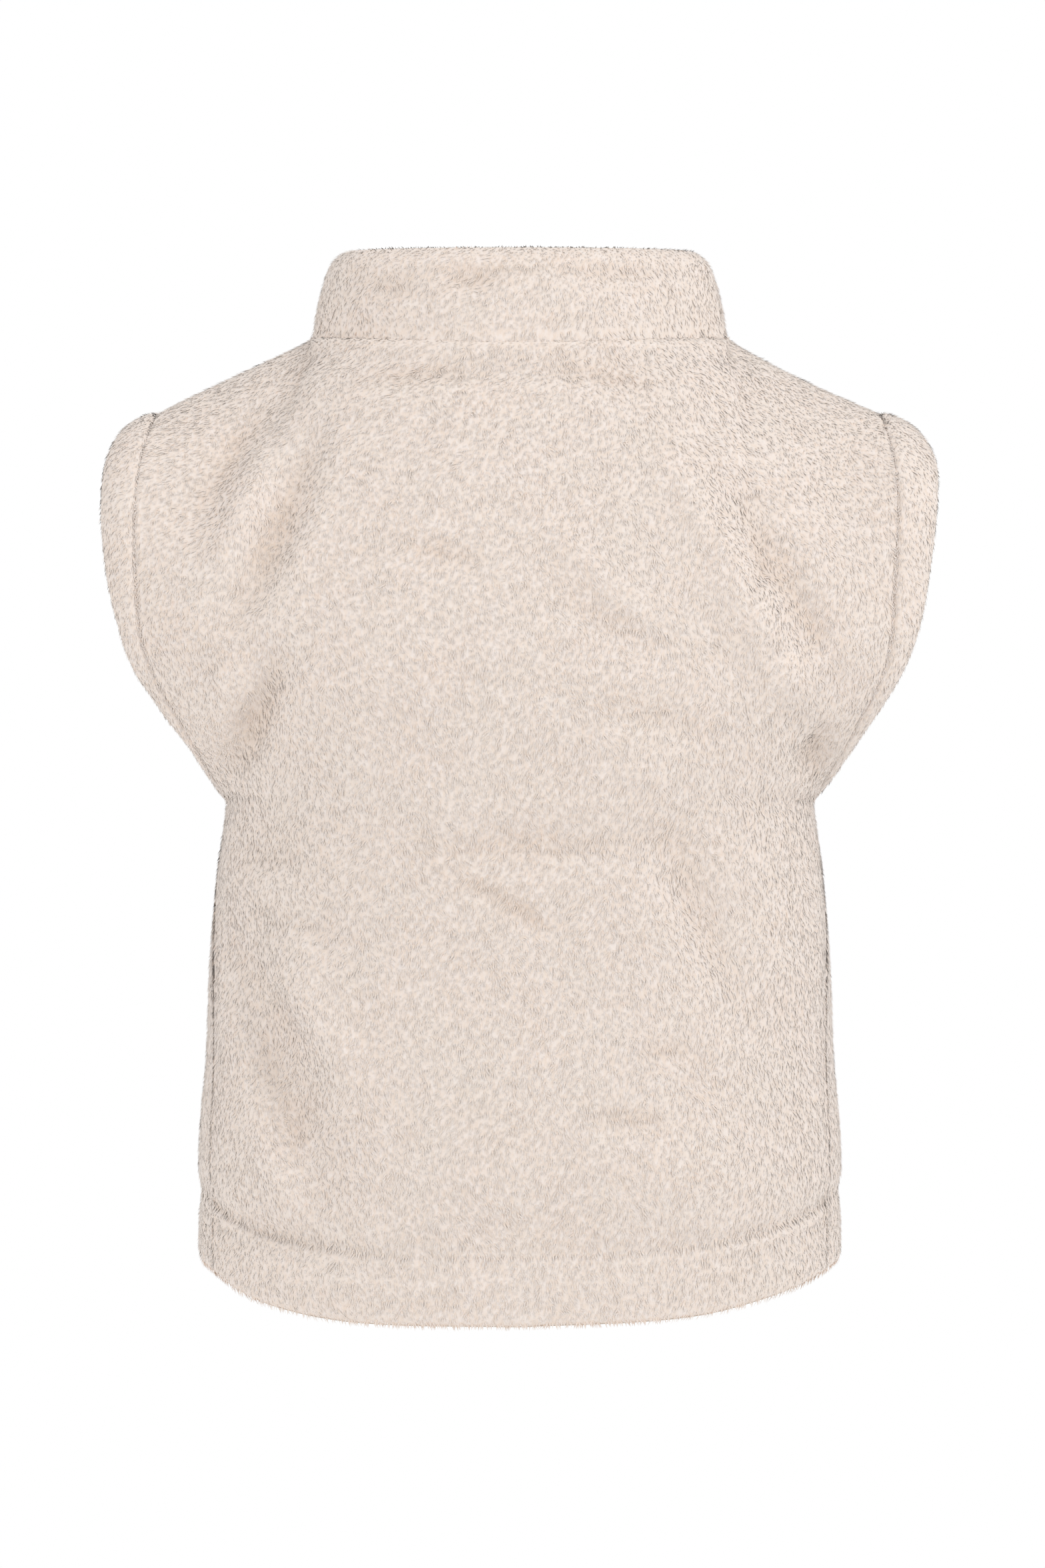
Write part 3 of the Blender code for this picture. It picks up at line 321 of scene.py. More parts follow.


# Main creases, listed one by one: start, bend and end (across, up), half width and height
creaseTables = {
    "back": (
        ("left shoulder ridge", (0.150, -0.050), (0.178, -0.115), (0.200, -0.185), 0.009, 0.003),
        ("left shoulder trough", (0.128, -0.060), (0.150, -0.120), (0.190, -0.205), 0.010, -0.0036),
        ("left outer trough", (0.165, -0.040), (0.188, -0.080), (0.212, -0.130), 0.008, -0.0024),
        ("left back ridge", (0.110, -0.075), (0.138, -0.140), (0.160, -0.190), 0.012, 0.0026),
        ("left underarm trough", (0.148, -0.198), (0.160, -0.240), (0.178, -0.272), 0.0085, -0.0032),
        ("left underarm ridge", (0.168, -0.200), (0.178, -0.230), (0.190, -0.250), 0.0065, 0.0026),
        ("right back ridge", (-0.100, -0.080), (-0.140, -0.160), (-0.182, -0.235), 0.010, 0.004),
        ("right back trough", (-0.138, -0.100), (-0.180, -0.175), (-0.206, -0.232), 0.012, -0.0024),
        ("chest crease", (0.082, -0.124), (0.050, -0.130), (0.010, -0.140), 0.0065, -0.002),
        ("chest ridge", (-0.008, -0.100), (-0.046, -0.145), (-0.084, -0.172), 0.008, 0.0028),
        ("shoulder blade trough", (-0.022, -0.155), (-0.055, -0.182), (-0.100, -0.192), 0.010, -0.0028),
        ("side trough", (-0.042, -0.226), (-0.086, -0.230), (-0.128, -0.246), 0.009, -0.003),
        ("side ridge", (-0.062, -0.265), (-0.080, -0.268), (-0.098, -0.275), 0.007, 0.0024),
        ("waist line", (0.062, -0.311), (-0.010, -0.318), (-0.092, -0.308), 0.008, -0.0022),
        ("waist fan one", (0.040, -0.330), (0.018, -0.342), (0.004, -0.348), 0.005, -0.0022),
        ("waist fan two", (0.012, -0.346), (-0.004, -0.354), (-0.020, -0.366), 0.0055, -0.0022),
        ("right sweep", (-0.086, -0.304), (-0.112, -0.350), (-0.136, -0.420), 0.011, -0.0036),
        ("left nip", (0.184, -0.318), (0.158, -0.319), (0.124, -0.325), 0.008, -0.0022),
        ("left nip below", (0.172, -0.354), (0.142, -0.360), (0.108, -0.368), 0.008, -0.002),
        ("left hip ridge", (0.166, -0.372), (0.140, -0.404), (0.108, -0.440), 0.010, 0.0026),
        ("left hip trough", (0.184, -0.366), (0.158, -0.452), (0.120, -0.534), 0.013, -0.005),
        ("left seat ridge", (0.174, -0.470), (0.156, -0.512), (0.132, -0.546), 0.009, 0.0024),
        ("right hem crease", (-0.040, -0.476), (-0.066, -0.478), (-0.096, -0.484), 0.0065, -0.002),
        ("right seat crease", (-0.075, -0.438), (-0.090, -0.436), (-0.106, -0.439), 0.006, -0.002),
        ("nape crease", (0.114, -0.026), (0.070, -0.016), (0.020, -0.021), 0.0055, -0.0022),
        ("nape crease right", (-0.020, -0.018), (-0.056, -0.020), (-0.092, -0.030), 0.0055, -0.002),
    ),
    "front": (
        ("left chest crease", (0.030, -0.150), (0.056, -0.160), (0.083, -0.178), 0.0085, -0.0018),
        ("right chest crease", (-0.038, -0.178), (-0.068, -0.188), (-0.098, -0.212), 0.009, -0.002),
        ("left waist line", (0.016, -0.326), (0.054, -0.333), (0.096, -0.325), 0.0085, -0.0018),
        ("right waist line", (-0.018, -0.318), (-0.052, -0.326), (-0.090, -0.335), 0.0085, -0.0018),
        ("left underarm pull", (0.150, -0.295), (0.124, -0.318), (0.100, -0.352), 0.008, -0.0022),
        ("right underarm pull", (-0.156, -0.290), (-0.128, -0.308), (-0.108, -0.340), 0.008, -0.0022),
        ("left hip crease", (0.042, -0.458), (0.065, -0.462), (0.090, -0.470), 0.008, -0.0016),
        ("right hip crease", (-0.040, -0.486), (-0.064, -0.485), (-0.086, -0.492), 0.008, -0.0016),
    ),
    "collarBack": (
        ("top dimple", (0.048, 0.044), (0.030, 0.0385), (0.012, 0.0435), 0.007, -0.0038),
        ("left fold", (0.100, 0.040), (0.078, 0.035), (0.062, 0.038), 0.0065, -0.0022),
        ("right fold", (-0.030, 0.047), (-0.062, 0.043), (-0.096, 0.048), 0.006, -0.0018),
        ("rolled edge", (0.105, 0.045), (0.000, 0.048), (-0.105, 0.050), 0.0045, -0.0014),
    ),
    "collarFront": (
        ("left fold", (0.080, 0.003), (0.056, -0.006), (0.030, -0.002), 0.0065, -0.002),
        ("right fold", (-0.026, 0.003), (-0.048, 0.000), (-0.082, 0.006), 0.0065, -0.002),
    ),
    "none": (),
}


def creaseHeights(points, table, widest=1.0):
    # a crease is a bent line, full at its middle and fading to a quarter of its height at its ends
    total = np.zeros(len(points))
    last, faintest = 16, 0.25
    along = np.linspace(0.0, 1.0, last + 1)
    for _, start, bend, end, halfWidth, height in creaseTables[table]:
        if halfWidth > widest:
            continue
        line = (np.outer((1 - along) ** 2, start) + np.outer(2 * along * (1 - along), bend)
                + np.outer(along ** 2, end))
        away = np.hypot(points[:, 0:1] - line[None, :, 0], points[:, 2:3] - line[None, :, 1])
        nearest = np.argmin(away, axis=1)
        gap = away[np.arange(len(points)), nearest]
        taper = faintest + (1 - faintest) * np.sin(math.pi * nearest / last)
        total += height * taper * np.exp(-(gap / halfWidth) ** 2)
    return total


# Cloth: each piece is a copy of its solid, merged, smoothed, and thinned to make room for the pile
clothPieces = {
    "backCloth": {"node": "back", "levels": 2, "folded": False, "creases": "back", "slot": "fur_back"},
    "frontLeftCloth": {"node": "front_left", "levels": 2, "folded": False, "creases": "front",
                       "slot": "fur_front"},
    "frontRightCloth": {"node": "front_right", "levels": 2, "folded": False, "creases": "front",
                        "slot": "fur_front"},
    "collarCloth": {"node": "collar", "levels": 2, "folded": True, "creases": "collar",
                    "slot": "fur_collar"},
    "armholeBandLeftCloth": {"node": "armhole_band_left", "levels": 2, "folded": True,
                             "creases": "none", "slot": "fur_band"},
    "armholeBandRightCloth": {"node": "armhole_band_right", "levels": 2, "folded": True,
                              "creases": "none", "slot": "fur_band"},
}
pileDepth = 0.0011             # the dense under-pile lies this far under the pile's tips
mergeDistance = 0.00002
sharpFrom = math.radians(55)
collarRing = np.array([1 / 0.1335 ** 2, 1 / 0.087 ** 2, 0.0])      # from its half width and half depth
sides = {
    "seamGap": 0.0012,         # faces this near another solid are a seam's rim
    "frontEdge": 0.006,
    "frontFacing": 0.8,
    "hemBelow": -0.55,
    "hemFacing": -0.4,
    "hemOutside": 0.1,
    "roundBelow": -0.572,      # the hem's own edge stays round
    "bodyShare": 0.8,          # where the middle of the body is, for telling outside from inside
    "bodyTop": -0.12,
}
seams = {
    "dip": 0.0002,             # how far the pile sinks along a seam
    "halfWidth": 0.0040,
    "reach": 0.0035,           # locks this near a seam may lie across it
    "over": 0.0016,
    "crossing": 0.7,
    "crossingEase": 0.6,
    "extra": 1.2,
    "cover": 0.0006,
    "neckReach": 0.0065,
    "neckOver": 0.0040,
    "neckFill": 0.0017,        # the solids' grooves are filled under the collar and down the sides
    "neckFrom": -0.052,
    "neckFull": -0.040,
    "neckEnd": 0.128,
    "neckOut": 0.150,
    "sideFill": 0.0017,
    "sideFrom": -0.285,
    "sideFull": -0.320,
    "fillHalfWidth": 0.0034,
}
hollows = {                    # painted light and shade on folds: the pile's colour is made lighter on ridges and darker, warmer in troughs
    "rounds": 22,
    "deep": 0.0030,
    # painted shade: how much darker and warmer a trough's pile is made
    "warmth": 0.50,
    # painted light: how much lighter a ridge's pile is made
    "light": 0.45,
    # warmer and darker where the pile is parted: partly its roots showing, partly painted shade
    "parted": 0.3,
    "narrow": 0.0075,          # only creases this narrow open the pile
    "opens": 0.0020,
}
underarm = {"height": -0.2840, "halfWidth": 0.0070, "rounds": 8}    # the rows lie close together there
pileSide, backingSide, rimSide = 0, 1, 2


def copyNode(nodeName, pieceName):
    mesh = nodes[nodeName].data.copy()
    mesh.name = pieceName
    mesh.materials.clear()
    piece = bpy.data.objects.new(pieceName, mesh)
    bpy.context.scene.collection.objects.link(piece)
    onlySelect(piece)
    bpy.ops.mesh.customdata_custom_splitnormals_clear()
    bpy.ops.object.mode_set(mode="EDIT")
    bpy.ops.mesh.select_all(action="SELECT")
    bpy.ops.mesh.remove_doubles(threshold=mergeDistance)
    bpy.ops.mesh.mark_sharp(clear=True)
    bpy.ops.mesh.tris_convert_to_quads(face_threshold=math.radians(30),
                                       shape_threshold=math.radians(60))
    bpy.ops.object.mode_set(mode="OBJECT")
    return piece


def facesOut(face):
    middle = face.calc_center_median()
    inside = Vector((sides["bodyShare"] * middle.x, 0.0, min(middle.z, sides["bodyTop"])))
    return face.normal.dot((middle - inside).normalized())


def markSides(piece, settings):
    # each face is put down as pile, backing or seam rim, kept as its material number
    work = bmesh.new()
    work.from_mesh(piece.data)
    others = [solidTree(n) for n in nodes if n != settings["node"] and not n.startswith("zip")]
    gaps = {v: min(tree.find_nearest(v.co)[3] for tree in others) for v in work.verts}
    for face in work.faces:
        middle = face.calc_center_median()
        atSeam = max(gaps[v] for v in face.verts) < sides["seamGap"]
        atFront = abs(middle.x) < sides["frontEdge"] and abs(face.normal.x) > sides["frontFacing"]
        underHem = middle.z < sides["hemBelow"] and face.normal.z < sides["hemFacing"]
        outside = sides["hemOutside"] if underHem else 0.0
        if atSeam or atFront:
            face.material_index = rimSide
        elif settings["folded"] or facesOut(face) > outside:
            face.material_index = pileSide
        else:
            face.material_index = backingSide
    layers = work.edges.layers.float
    crease = layers.get("crease_edge") or layers.new("crease_edge")
    for edge in work.edges:
        kinds = {f.material_index for f in edge.link_faces}
        lowest = min(v.co.z for v in edge.verts)
        edge[crease] = 1.0 if len(kinds) > 1 and lowest > sides["roundBelow"] else 0.0
    work.to_mesh(piece.data)
    work.free()


def pileNormals(mesh, points):
    # smooth outward directions from the pile's own faces alone
    count = len(mesh.polygons)
    kinds = np.empty(count, np.int32)
    mesh.polygons.foreach_get("material_index", kinds)
    mesh.calc_loop_triangles()
    corners = np.empty(len(mesh.loop_triangles) * 3, np.int32)
    mesh.loop_triangles.foreach_get("vertices", corners)
    owners = np.empty(len(mesh.loop_triangles), np.int32)
    mesh.loop_triangles.foreach_get("polygon_index", owners)
    corners = corners.reshape(-1, 3)[kinds[owners] == pileSide]
    first = points[corners[:, 0]]
    across = np.cross(points[corners[:, 1]] - first, points[corners[:, 2]] - first)
    normals = np.zeros_like(points)
    for k in range(3):
        np.add.at(normals, corners[:, k], across)
    touched = np.linalg.norm(normals, axis=1) > 0
    return corners, across, unitRows(normals) * touched[:, None], touched


def edgePairs(mesh, wanted):
    pairs = np.empty(len(mesh.edges) * 2, np.int32)
    mesh.edges.foreach_get("vertices", pairs)
    pairs = pairs.reshape(-1, 2)
    return pairs[wanted[pairs].all(axis=1)]


def eased(points, pairs, rounds, weights):
    # each point drawn towards its neighbours, as far as its weight says
    degree = np.bincount(pairs.ravel(), minlength=len(points))[:, None]
    weights = 0.5 * weights[:, None] * (degree > 2)
    for _ in range(rounds):
        total = np.zeros_like(points)
        np.add.at(total, pairs[:, 0], points[pairs[:, 1]])
        np.add.at(total, pairs[:, 1], points[pairs[:, 0]])
        points = points + weights * (total / np.maximum(degree, 1) - points)
    return points


def hollowOf(mesh, points, normals, touched):
    # how far each place lies under its smoothed surroundings: 1 in a deep trough, -1 on a high ridge
    smoothed = eased(points, edgePairs(mesh, touched), hollows["rounds"], np.ones(len(points)))
    return np.clip(rowDots(smoothed - points, normals)[:, 0] / hollows["deep"], -1.0, 1.0)


def creasesFor(points, normals, settings, widest=1.0):
    if settings["creases"] != "collar":
        return creaseHeights(points, settings["creases"], widest)
    ring = unitRows(points * collarRing)
    outside = easeBetween(0.0, 0.5, rowDots(ring, normals)[:, 0])
    behind = points[:, 1] > 0
    return outside * np.where(behind, creaseHeights(points, "collarBack", widest),
                              creaseHeights(points, "collarFront", widest))


# Hem: the turn-up's narrow stitched groove is filled a little and set in a soft wide band
hemBand = {
    "up": 0.042,
    "fill": 0.0028,
    "fillHalfWidth": 0.0045,
    "dip": 0.0022,
    "halfWidth": 0.0095,
    "across": 0.19,            # half the hem's width and depth, to count its turns by
    "deep": 0.12,
    "step": math.radians(3),
    "below": -0.40,
}


def hemLifts(points):
    facing = np.sign(points[:, 1].mean())
    turn = np.arctan2(points[:, 0] / hemBand["across"], points[:, 1] / hemBand["deep"] * facing)
    low = points[:, 2] < hemBand["below"]
    places = np.arange(turn[low].min(), turn[low].max(), hemBand["step"])
    edge = [points[np.abs(turn - place) < hemBand["step"]][:, 2].min() for place in places]
    away = points[:, 2] - np.interp(turn, places, edge) - hemBand["up"]
    return (hemBand["fill"] * np.exp(-(away / hemBand["fillHalfWidth"]) ** 2)
            - hemBand["dip"] * np.exp(-(away / hemBand["halfWidth"]) ** 2))


def seamFills(points, gaps):
    atNeck = (easeBetween(seams["neckFrom"], seams["neckFull"], points[:, 2])
              * easeBetween(seams["neckOut"], seams["neckEnd"], np.abs(points[:, 0])))
    atSide = easeBetween(seams["sideFrom"], seams["sideFull"], points[:, 2])
    return ((seams["neckFill"] * atNeck + seams["sideFill"] * atSide)
            * np.exp(-(gaps / seams["fillHalfWidth"]) ** 2))


def swellCage(piece, rounds=4):
    # the cage swells until the smoothed cloth runs through the solid's own points
    mesh = piece.data
    wanted = readPoints(mesh)
    cage = wanted.copy()
    for _ in range(rounds):
        graph = bpy.context.evaluated_depsgraph_get()
        cage += wanted - readPoints(piece.evaluated_get(graph).data)[:len(wanted)]
        mesh.vertices.foreach_set("co", cage.ravel())
        mesh.update()


def easeUnderarm(mesh, points):
    free = np.exp(-((points[:, 2] - underarm["height"]) / underarm["halfWidth"]) ** 2)
    for polygon in mesh.polygons:
        if polygon.material_index == rimSide:
            free[list(polygon.vertices)] = 0.0
    return eased(points, edgePairs(mesh, np.ones(len(points), bool)), underarm["rounds"], free)


def towardsOthers(points, touched, ownNode):
    # from each place on the pile to the nearest other solid
    nearby = [solidTree(n) for n in nodes if n != ownNode and not n.startswith("zip")]
    towards = np.zeros_like(points)
    for k in np.flatnonzero(touched):
        found = min((tree.find_nearest(points[k]) for tree in nearby), key=lambda hit: hit[3])
        towards[k] = np.array(found[0]) - points[k]
    return towards


def addCloth(pieceName, settings):
    piece = copyNode(settings["node"], pieceName)
    markSides(piece, settings)
    mesh = piece.data
    smooth = piece.modifiers.new("smooth", "SUBSURF")
    smooth.levels = settings["levels"]
    smooth.render_levels = settings["levels"]
    swellCage(piece)
    onlySelect(piece)
    bpy.ops.object.modifier_apply(modifier=smooth.name)
    points = readPoints(mesh)
    if not settings["folded"]:
        points = easeUnderarm(mesh, points)
    normals, touched = pileNormals(mesh, points)[2:]
    towards = towardsOthers(points, touched, settings["node"])
    gaps = np.linalg.norm(towards, axis=1)
    lifts = creasesFor(points, normals, settings)
    narrow = creasesFor(points, normals, settings, hollows["narrow"])
    parted = np.clip(-narrow / hollows["opens"], 0.0, 1.0)
    if not settings["folded"]:
        lifts = lifts + hemLifts(points)
    lifts = lifts - seams["dip"] * np.exp(-(gaps / seams["halfWidth"]) ** 2)
    lifts = lifts + seamFills(points, gaps)
    top = points + normals * (lifts * touched)[:, None]
    corners, across, normals, touched = pileNormals(mesh, top)
    hollow = hollowOf(mesh, top, normals, touched)
    settings["pile"] = {"points": top, "corners": corners, "normals": normals, "towards": towards,
                        "parted": parted, "gaps": gaps, "hollow": hollow,
                        "areas": np.linalg.norm(across, axis=1) / 2,
                        "tree": BVHTree.FromPolygons(top.tolist(), corners.tolist())}
    shrunk = top - normals * (pileDepth * touched)[:, None]
    mesh.vertices.foreach_set("co", shrunk.ravel())
    for finish in ("underPile", "backing", "underPile"):
        mesh.materials.append(finishes[finish])
    # the under-pile's marks: tone made lighter on ridges (painted light), and colour made warmer and
    # darker where the pile is parted and in troughs (painted shade)
    marks = np.ones((len(points), 4))
    marks[:, 1] = 0.5 - hollows["light"] * np.minimum(hollow, 0.0)
    warmingAndPaintedShade = hollows["warmth"] * np.maximum(hollow, 0.0) + hollows["parted"] * parted
    marks[:, 2] = np.clip(warmingAndPaintedShade, 0.0, 1.0)
    mesh.attributes.new("lock", "FLOAT_COLOR", "POINT").data.foreach_set("color", marks.ravel())
    mesh.shade_smooth()
    mesh.set_sharp_from_angle(angle=sharpFrom)
    mesh.update()
    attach(piece, "vest")
    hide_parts(settings["node"])
    settings["piece"] = piece
    pileArea = settings["pile"]["areas"].sum()
    print("vest:", pieceName, len(mesh.polygons), "faces, pile area %.4f square metres" % pileArea)


for pieceName, settings in clothPieces.items():
    addCloth(pieceName, settings)


# Pile: thin pointed locks, laid down the vest in little tufts, their tips on the solid's outer side
fur = {
    "length": 0.0056,
    "lengthSpread": 0.16,
    "rise": 24.0,              # degrees between a lock and the cloth
    "riseSpread": 5.0,
    "width": 0.0018,
    "thickness": 0.0003,
    "thinnest": (0.75, 0.8),   # shares of the width and thickness, and what chance adds to them
    "thinSpread": (0.5, 0.4),
    "looseThin": (0.55, 0.6),
    "deepestRoot": 0.0060,
    "locksPerTuft": 5,
    "centreChoice": 3,         # a tuft's centre is one of the first three in each run of five locks
    "tuftPull": 0.15,
    "tuftTurn": 14.0,          # degrees
    "lockTurn": 10.0,
    "swirl": 13.0,
    "swirlSize": 0.022,
    "swirlSeed": 3,
    "softNormal": 0.97,        # share of the cloth's own direction in how a lock catches the light
    "looseSoftness": 0.35,
    "hemHardness": 0.55,
    "sideHardness": 0.5,       # a lock's narrow sides keep more of their own direction, for light edges
    "tuftTilt": 0.022,
    "lockTilt": 0.03,
    "tuftHeight": 0.0002,
    "lockHeight": 0.0002,
    "heights": (-0.0018, 0.0014),
    "looseShare": 0.05,        # single locks that stand out of the pile
    "looseHeight": 0.0012,
    "partedTurn": 22.0,
    "partedTilt": 0.10,
    "hemBelow": -0.565,
    "hemFrom": 0.1,            # how far a place faces down before the hem's edge begins
    "hemFull": 0.7,
    "hemDrop": 0.0022,
    "hemFacing": -0.25,
    "tuftTone": 0.35,
    "lockTone": 0.30,
    "cloudy": 0.12,
    "cloudSize": 0.03,
    "cloudSeed": 8,
}
lays = {
    "bandOut": 0.35,           # the pile of the armhole bands leans out, and turns in under the arm
    "bandIn": 1.2,
    "bandInFrom": 0.75,
    "bandInFull": 0.95,
    "shoulderOut": 2.2,
    "shoulderFrom": -0.26,
    "shoulderFull": -0.04,
}
furPieces = {
    "backFurLeft": {"cloth": "backCloth", "side": 1, "perSquareMetre": 277000, "seed": 11},
    "backFurRight": {"cloth": "backCloth", "side": -1, "perSquareMetre": 277000, "seed": 12},
    "frontLeftFur": {"cloth": "frontLeftCloth", "side": 0, "perSquareMetre": 227000, "seed": 13},
    "frontRightFur": {"cloth": "frontRightCloth", "side": 0, "perSquareMetre": 227000, "seed": 14},
    "collarFur": {"cloth": "collarCloth", "side": 0, "perSquareMetre": 262000, "seed": 15},
    "armholeBandLeftFur": {"cloth": "armholeBandLeftCloth", "side": 0, "perSquareMetre": 262000,
                           "seed": 16},
    "armholeBandRightFur": {"cloth": "armholeBandRightCloth", "side": 0, "perSquareMetre": 262000,
                            "seed": 17},
}
mostLocks = 49500              # four triangles each, under 200,000 in a piece
evenSteps = (0.7548776662, 0.5698402910)         # steps that fill a square evenly
strandStarts = np.array([0.0, 3.0, 1.5, 1.5])    # at a lock's three root points and its tip
# where the pile lies open a little, its locks turned and its colour warmer and darker (partly its roots
# showing, partly painted shade): across, behind or in front, up, radius, how much
partedPlaces = (
    (0.1950, 1, -0.0780, 0.0260, 0.7),
    (0.2130, 1, -0.1150, 0.0170, 0.5),
    (0.0850, 1, -0.0120, 0.0200, 0.5),
    (-0.0600, 1, -0.0100, 0.0300, 0.4),
    (0.0500, 1, -0.3150, 0.0220, 0.6),
    (0.0200, 1, -0.3320, 0.0200, 0.5),
    (0.1400, 1, -0.3500, 0.0200, 0.4),
    (-0.1900, 1, -0.0900, 0.0180, 0.3),
    (0.0280, 1, 0.0400, 0.0160, 0.6),
    (0.1500, -1, -0.1000, 0.0240, 0.5),
    (-0.1450, -1, -0.1250, 0.0240, 0.5),
    (0.0700, -1, -0.3300, 0.0220, 0.4),
)


def layOfPile(points, normals, cloth):
    # the way that the pile is combed, along the cloth
    down = np.tile(np.array([0.0, 0.0, -1.0]), (len(points), 1))
    side = np.sign(points[:, 0])
    if cloth == "collarCloth":
        ring = unitRows(points * collarRing)
        lay = rowDots(normals, -down) * ring + rowDots(normals, ring) * down
    elif cloth.startswith("armhole"):
        lay = down.copy()
        lay[:, 0] += lays["bandOut"] * side
        rolledIn = easeBetween(lays["bandInFrom"], lays["bandInFull"], -normals[:, 2])
        lay[:, 0] -= lays["bandIn"] * side * rolledIn
    else:
        shoulder = easeBetween(lays["shoulderFrom"], lays["shoulderFull"], points[:, 2])
        lay = down.copy()
        lay[:, 0] += lays["shoulderOut"] * points[:, 0] * shoulder
    lay = lay - rowDots(lay, normals) * normals
    return unitRows(lay)


def turnAbout(directions, normals, angles):
    ahead = directions * np.cos(angles)[:, None]
    return ahead + np.cross(normals, directions) * np.sin(angles)[:, None]


def evenPlaces(shares, count):
    # the face each lock stands on, and its place there, evenly spread with no clumps
    order = np.arange(count)
    chosen = np.searchsorted(np.cumsum(shares) / shares.sum(), (order + 0.5) / count)
    chosen = np.minimum(chosen, len(shares) - 1)
    u = (0.5 + order * evenSteps[0]) % 1.0
    v = (0.5 + order * evenSteps[1]) % 1.0
    folded = u + v > 1
    u[folded], v[folded] = 1 - u[folded], 1 - v[folded]
    return chosen, np.column_stack((1 - u - v, u, v))


def blended(weights, values):
    # what the corners of each lock's face hold, blended at its place
    return np.einsum("ij,ijk->ik" if values.ndim == 3 else "ij,ij->i", weights, values)


def openedPile(tips, parted):
    for x, behind, z, radius, amount in partedPlaces:
        away = np.hypot(tips[:, 0] - x, tips[:, 2] - z)
        parted += amount * np.exp(-(away / radius) ** 2) * (tips[:, 1] * behind > 0)
    return np.clip(parted, 0.0, 1.0)


def lockMesh(pieceName, points, faces):
    mesh = bpy.data.meshes.new(pieceName)
    mesh.vertices.add(len(points))
    mesh.vertices.foreach_set("co", points.ravel())
    mesh.loops.add(len(faces))
    mesh.loops.foreach_set("vertex_index", faces)
    mesh.polygons.add(len(faces) // 3)
    mesh.polygons.foreach_set("loop_start", np.arange(len(faces) // 3) * 3)
    mesh.update(calc_edges=True)
    mesh.validate()
    return mesh


def addFur(pieceName, settings):
    cloth = clothPieces[settings["cloth"]]
    pile = cloth["pile"]
    corners, areas = pile["corners"], pile["areas"]
    if settings["side"]:
        middles = pile["points"][corners].mean(axis=1)
        keep = middles[:, 0] * settings["side"] >= 0
        corners, areas = corners[keep], areas[keep]
    dice = np.random.default_rng(settings["seed"])
    count = min(int(areas.sum() * settings["perSquareMetre"]), mostLocks)

    # tips: evenly spread, thicker where the pile closes over a seam
    nearSeam = pile["gaps"][corners].mean(axis=1) < seams["reach"]
    chosen, weights = evenPlaces(areas * (1 + seams["extra"] * nearSeam), count)
    corners = corners[chosen]
    tips = blended(weights, pile["points"][corners])
    normals = unitRows(blended(weights, pile["normals"][corners]))
    underHem = easeBetween(fur["hemFrom"], fur["hemFull"], -normals[:, 2])
    underHem = underHem * (tips[:, 2] < fur["hemBelow"])
    tips[:, 2] -= fur["hemDrop"] * underHem
    towards = blended(weights, pile["towards"][corners])
    gaps = np.linalg.norm(towards, axis=1, keepdims=True)
    atNeck = settings["cloth"] == "collarCloth"
    reach = seams["neckReach"] if atNeck else seams["reach"]
    beyond = seams["neckOver"] if atNeck else seams["over"]
    crossing = (gaps < reach) * (dice.random(count) < seams["crossing"])[:, None]
    share = (dice.random(count) ** seams["crossingEase"])[:, None] * crossing
    tips += unitRows(towards) * (gaps + beyond) * share + normals * seams["cover"] * share
    parted = openedPile(tips, blended(weights, pile["parted"][corners]))

    # tufts: neighbours share a turn, a height and a tone
    tuftCount = count // fur["locksPerTuft"]
    tree = KDTree(tuftCount)
    chosenLocks = dice.integers(0, fur["centreChoice"], tuftCount)
    centres = (np.arange(tuftCount) * fur["locksPerTuft"] + chosenLocks).clip(0, count - 1)
    for k in range(tuftCount):
        tree.insert(tips[centres[k]], k)
    tree.balance()
    tuft = np.array([tree.find(tip)[1] for tip in tips])
    tuftTone = dice.random(tuftCount)
    tuftTurn = dice.normal(size=tuftCount) * math.radians(fur["tuftTurn"])
    tuftHeight = dice.normal(size=tuftCount) * fur["tuftHeight"]

    # roots: back along the lay and down into the pile
    lay = layOfPile(tips, normals, settings["cloth"])
    turn = (tuftTurn[tuft] + dice.normal(size=count) * math.radians(fur["lockTurn"])
            + dice.normal(size=tuftCount)[tuft] * parted * math.radians(fur["partedTurn"])
            + slowNoise(tips, fur["swirlSize"], fur["swirlSeed"]) * math.radians(fur["swirl"]))
    lay = turnAbout(lay, normals, turn)
    length = fur["length"] * (1 + fur["lengthSpread"] * np.clip(dice.normal(size=count), -2, 2))
    rise = np.radians(fur["rise"] + fur["riseSpread"] * np.clip(dice.normal(size=count), -2, 2))
    depth = np.minimum(length * np.sin(rise), fur["deepestRoot"])
    height = tuftHeight[tuft] + fur["lockHeight"] * dice.normal(size=count)
    loose = dice.random(count) < fur["looseShare"]
    height = np.clip(height, *fur["heights"]) + loose * fur["looseHeight"] * dice.random(count)
    roots = tips - lay * (length * np.cos(rise))[:, None]
    for k in range(count):
        spot, facing = pile["tree"].find_nearest(roots[k])[:2]
        roots[k] = spot - facing * depth[k]
    gathered = tips + fur["tuftPull"] * (tips[centres[tuft]] - tips) * (~loose)[:, None]
    gathered = gathered + normals * height[:, None]

    # locks: three root points and a tip each, closed by four faces
    run = unitRows(gathered - roots)
    across = unitRows(np.cross(run, normals))
    over = np.cross(across, run)
    width = fur["width"] * (fur["thinnest"][0] + fur["thinSpread"][0] * dice.random(count))
    width = width * np.where(loose, fur["looseThin"][0], 1.0)
    thick = fur["thickness"] * (fur["thinnest"][1] + fur["thinSpread"][1] * dice.random(count))
    thick = thick * np.where(loose, fur["looseThin"][1], 1.0)
    points = np.stack((roots - across * width[:, None] / 2, roots + across * width[:, None] / 2,
                       roots + over * thick[:, None], gathered), axis=1).reshape(-1, 3)
    base = np.arange(count)[:, None] * 4
    faces = np.hstack((base, base + 3, base + 1, base + 1, base + 3, base + 2,
                       base + 2, base + 3, base, base, base + 1, base + 2)).ravel()
    mesh = lockMesh(pieceName, points, faces)
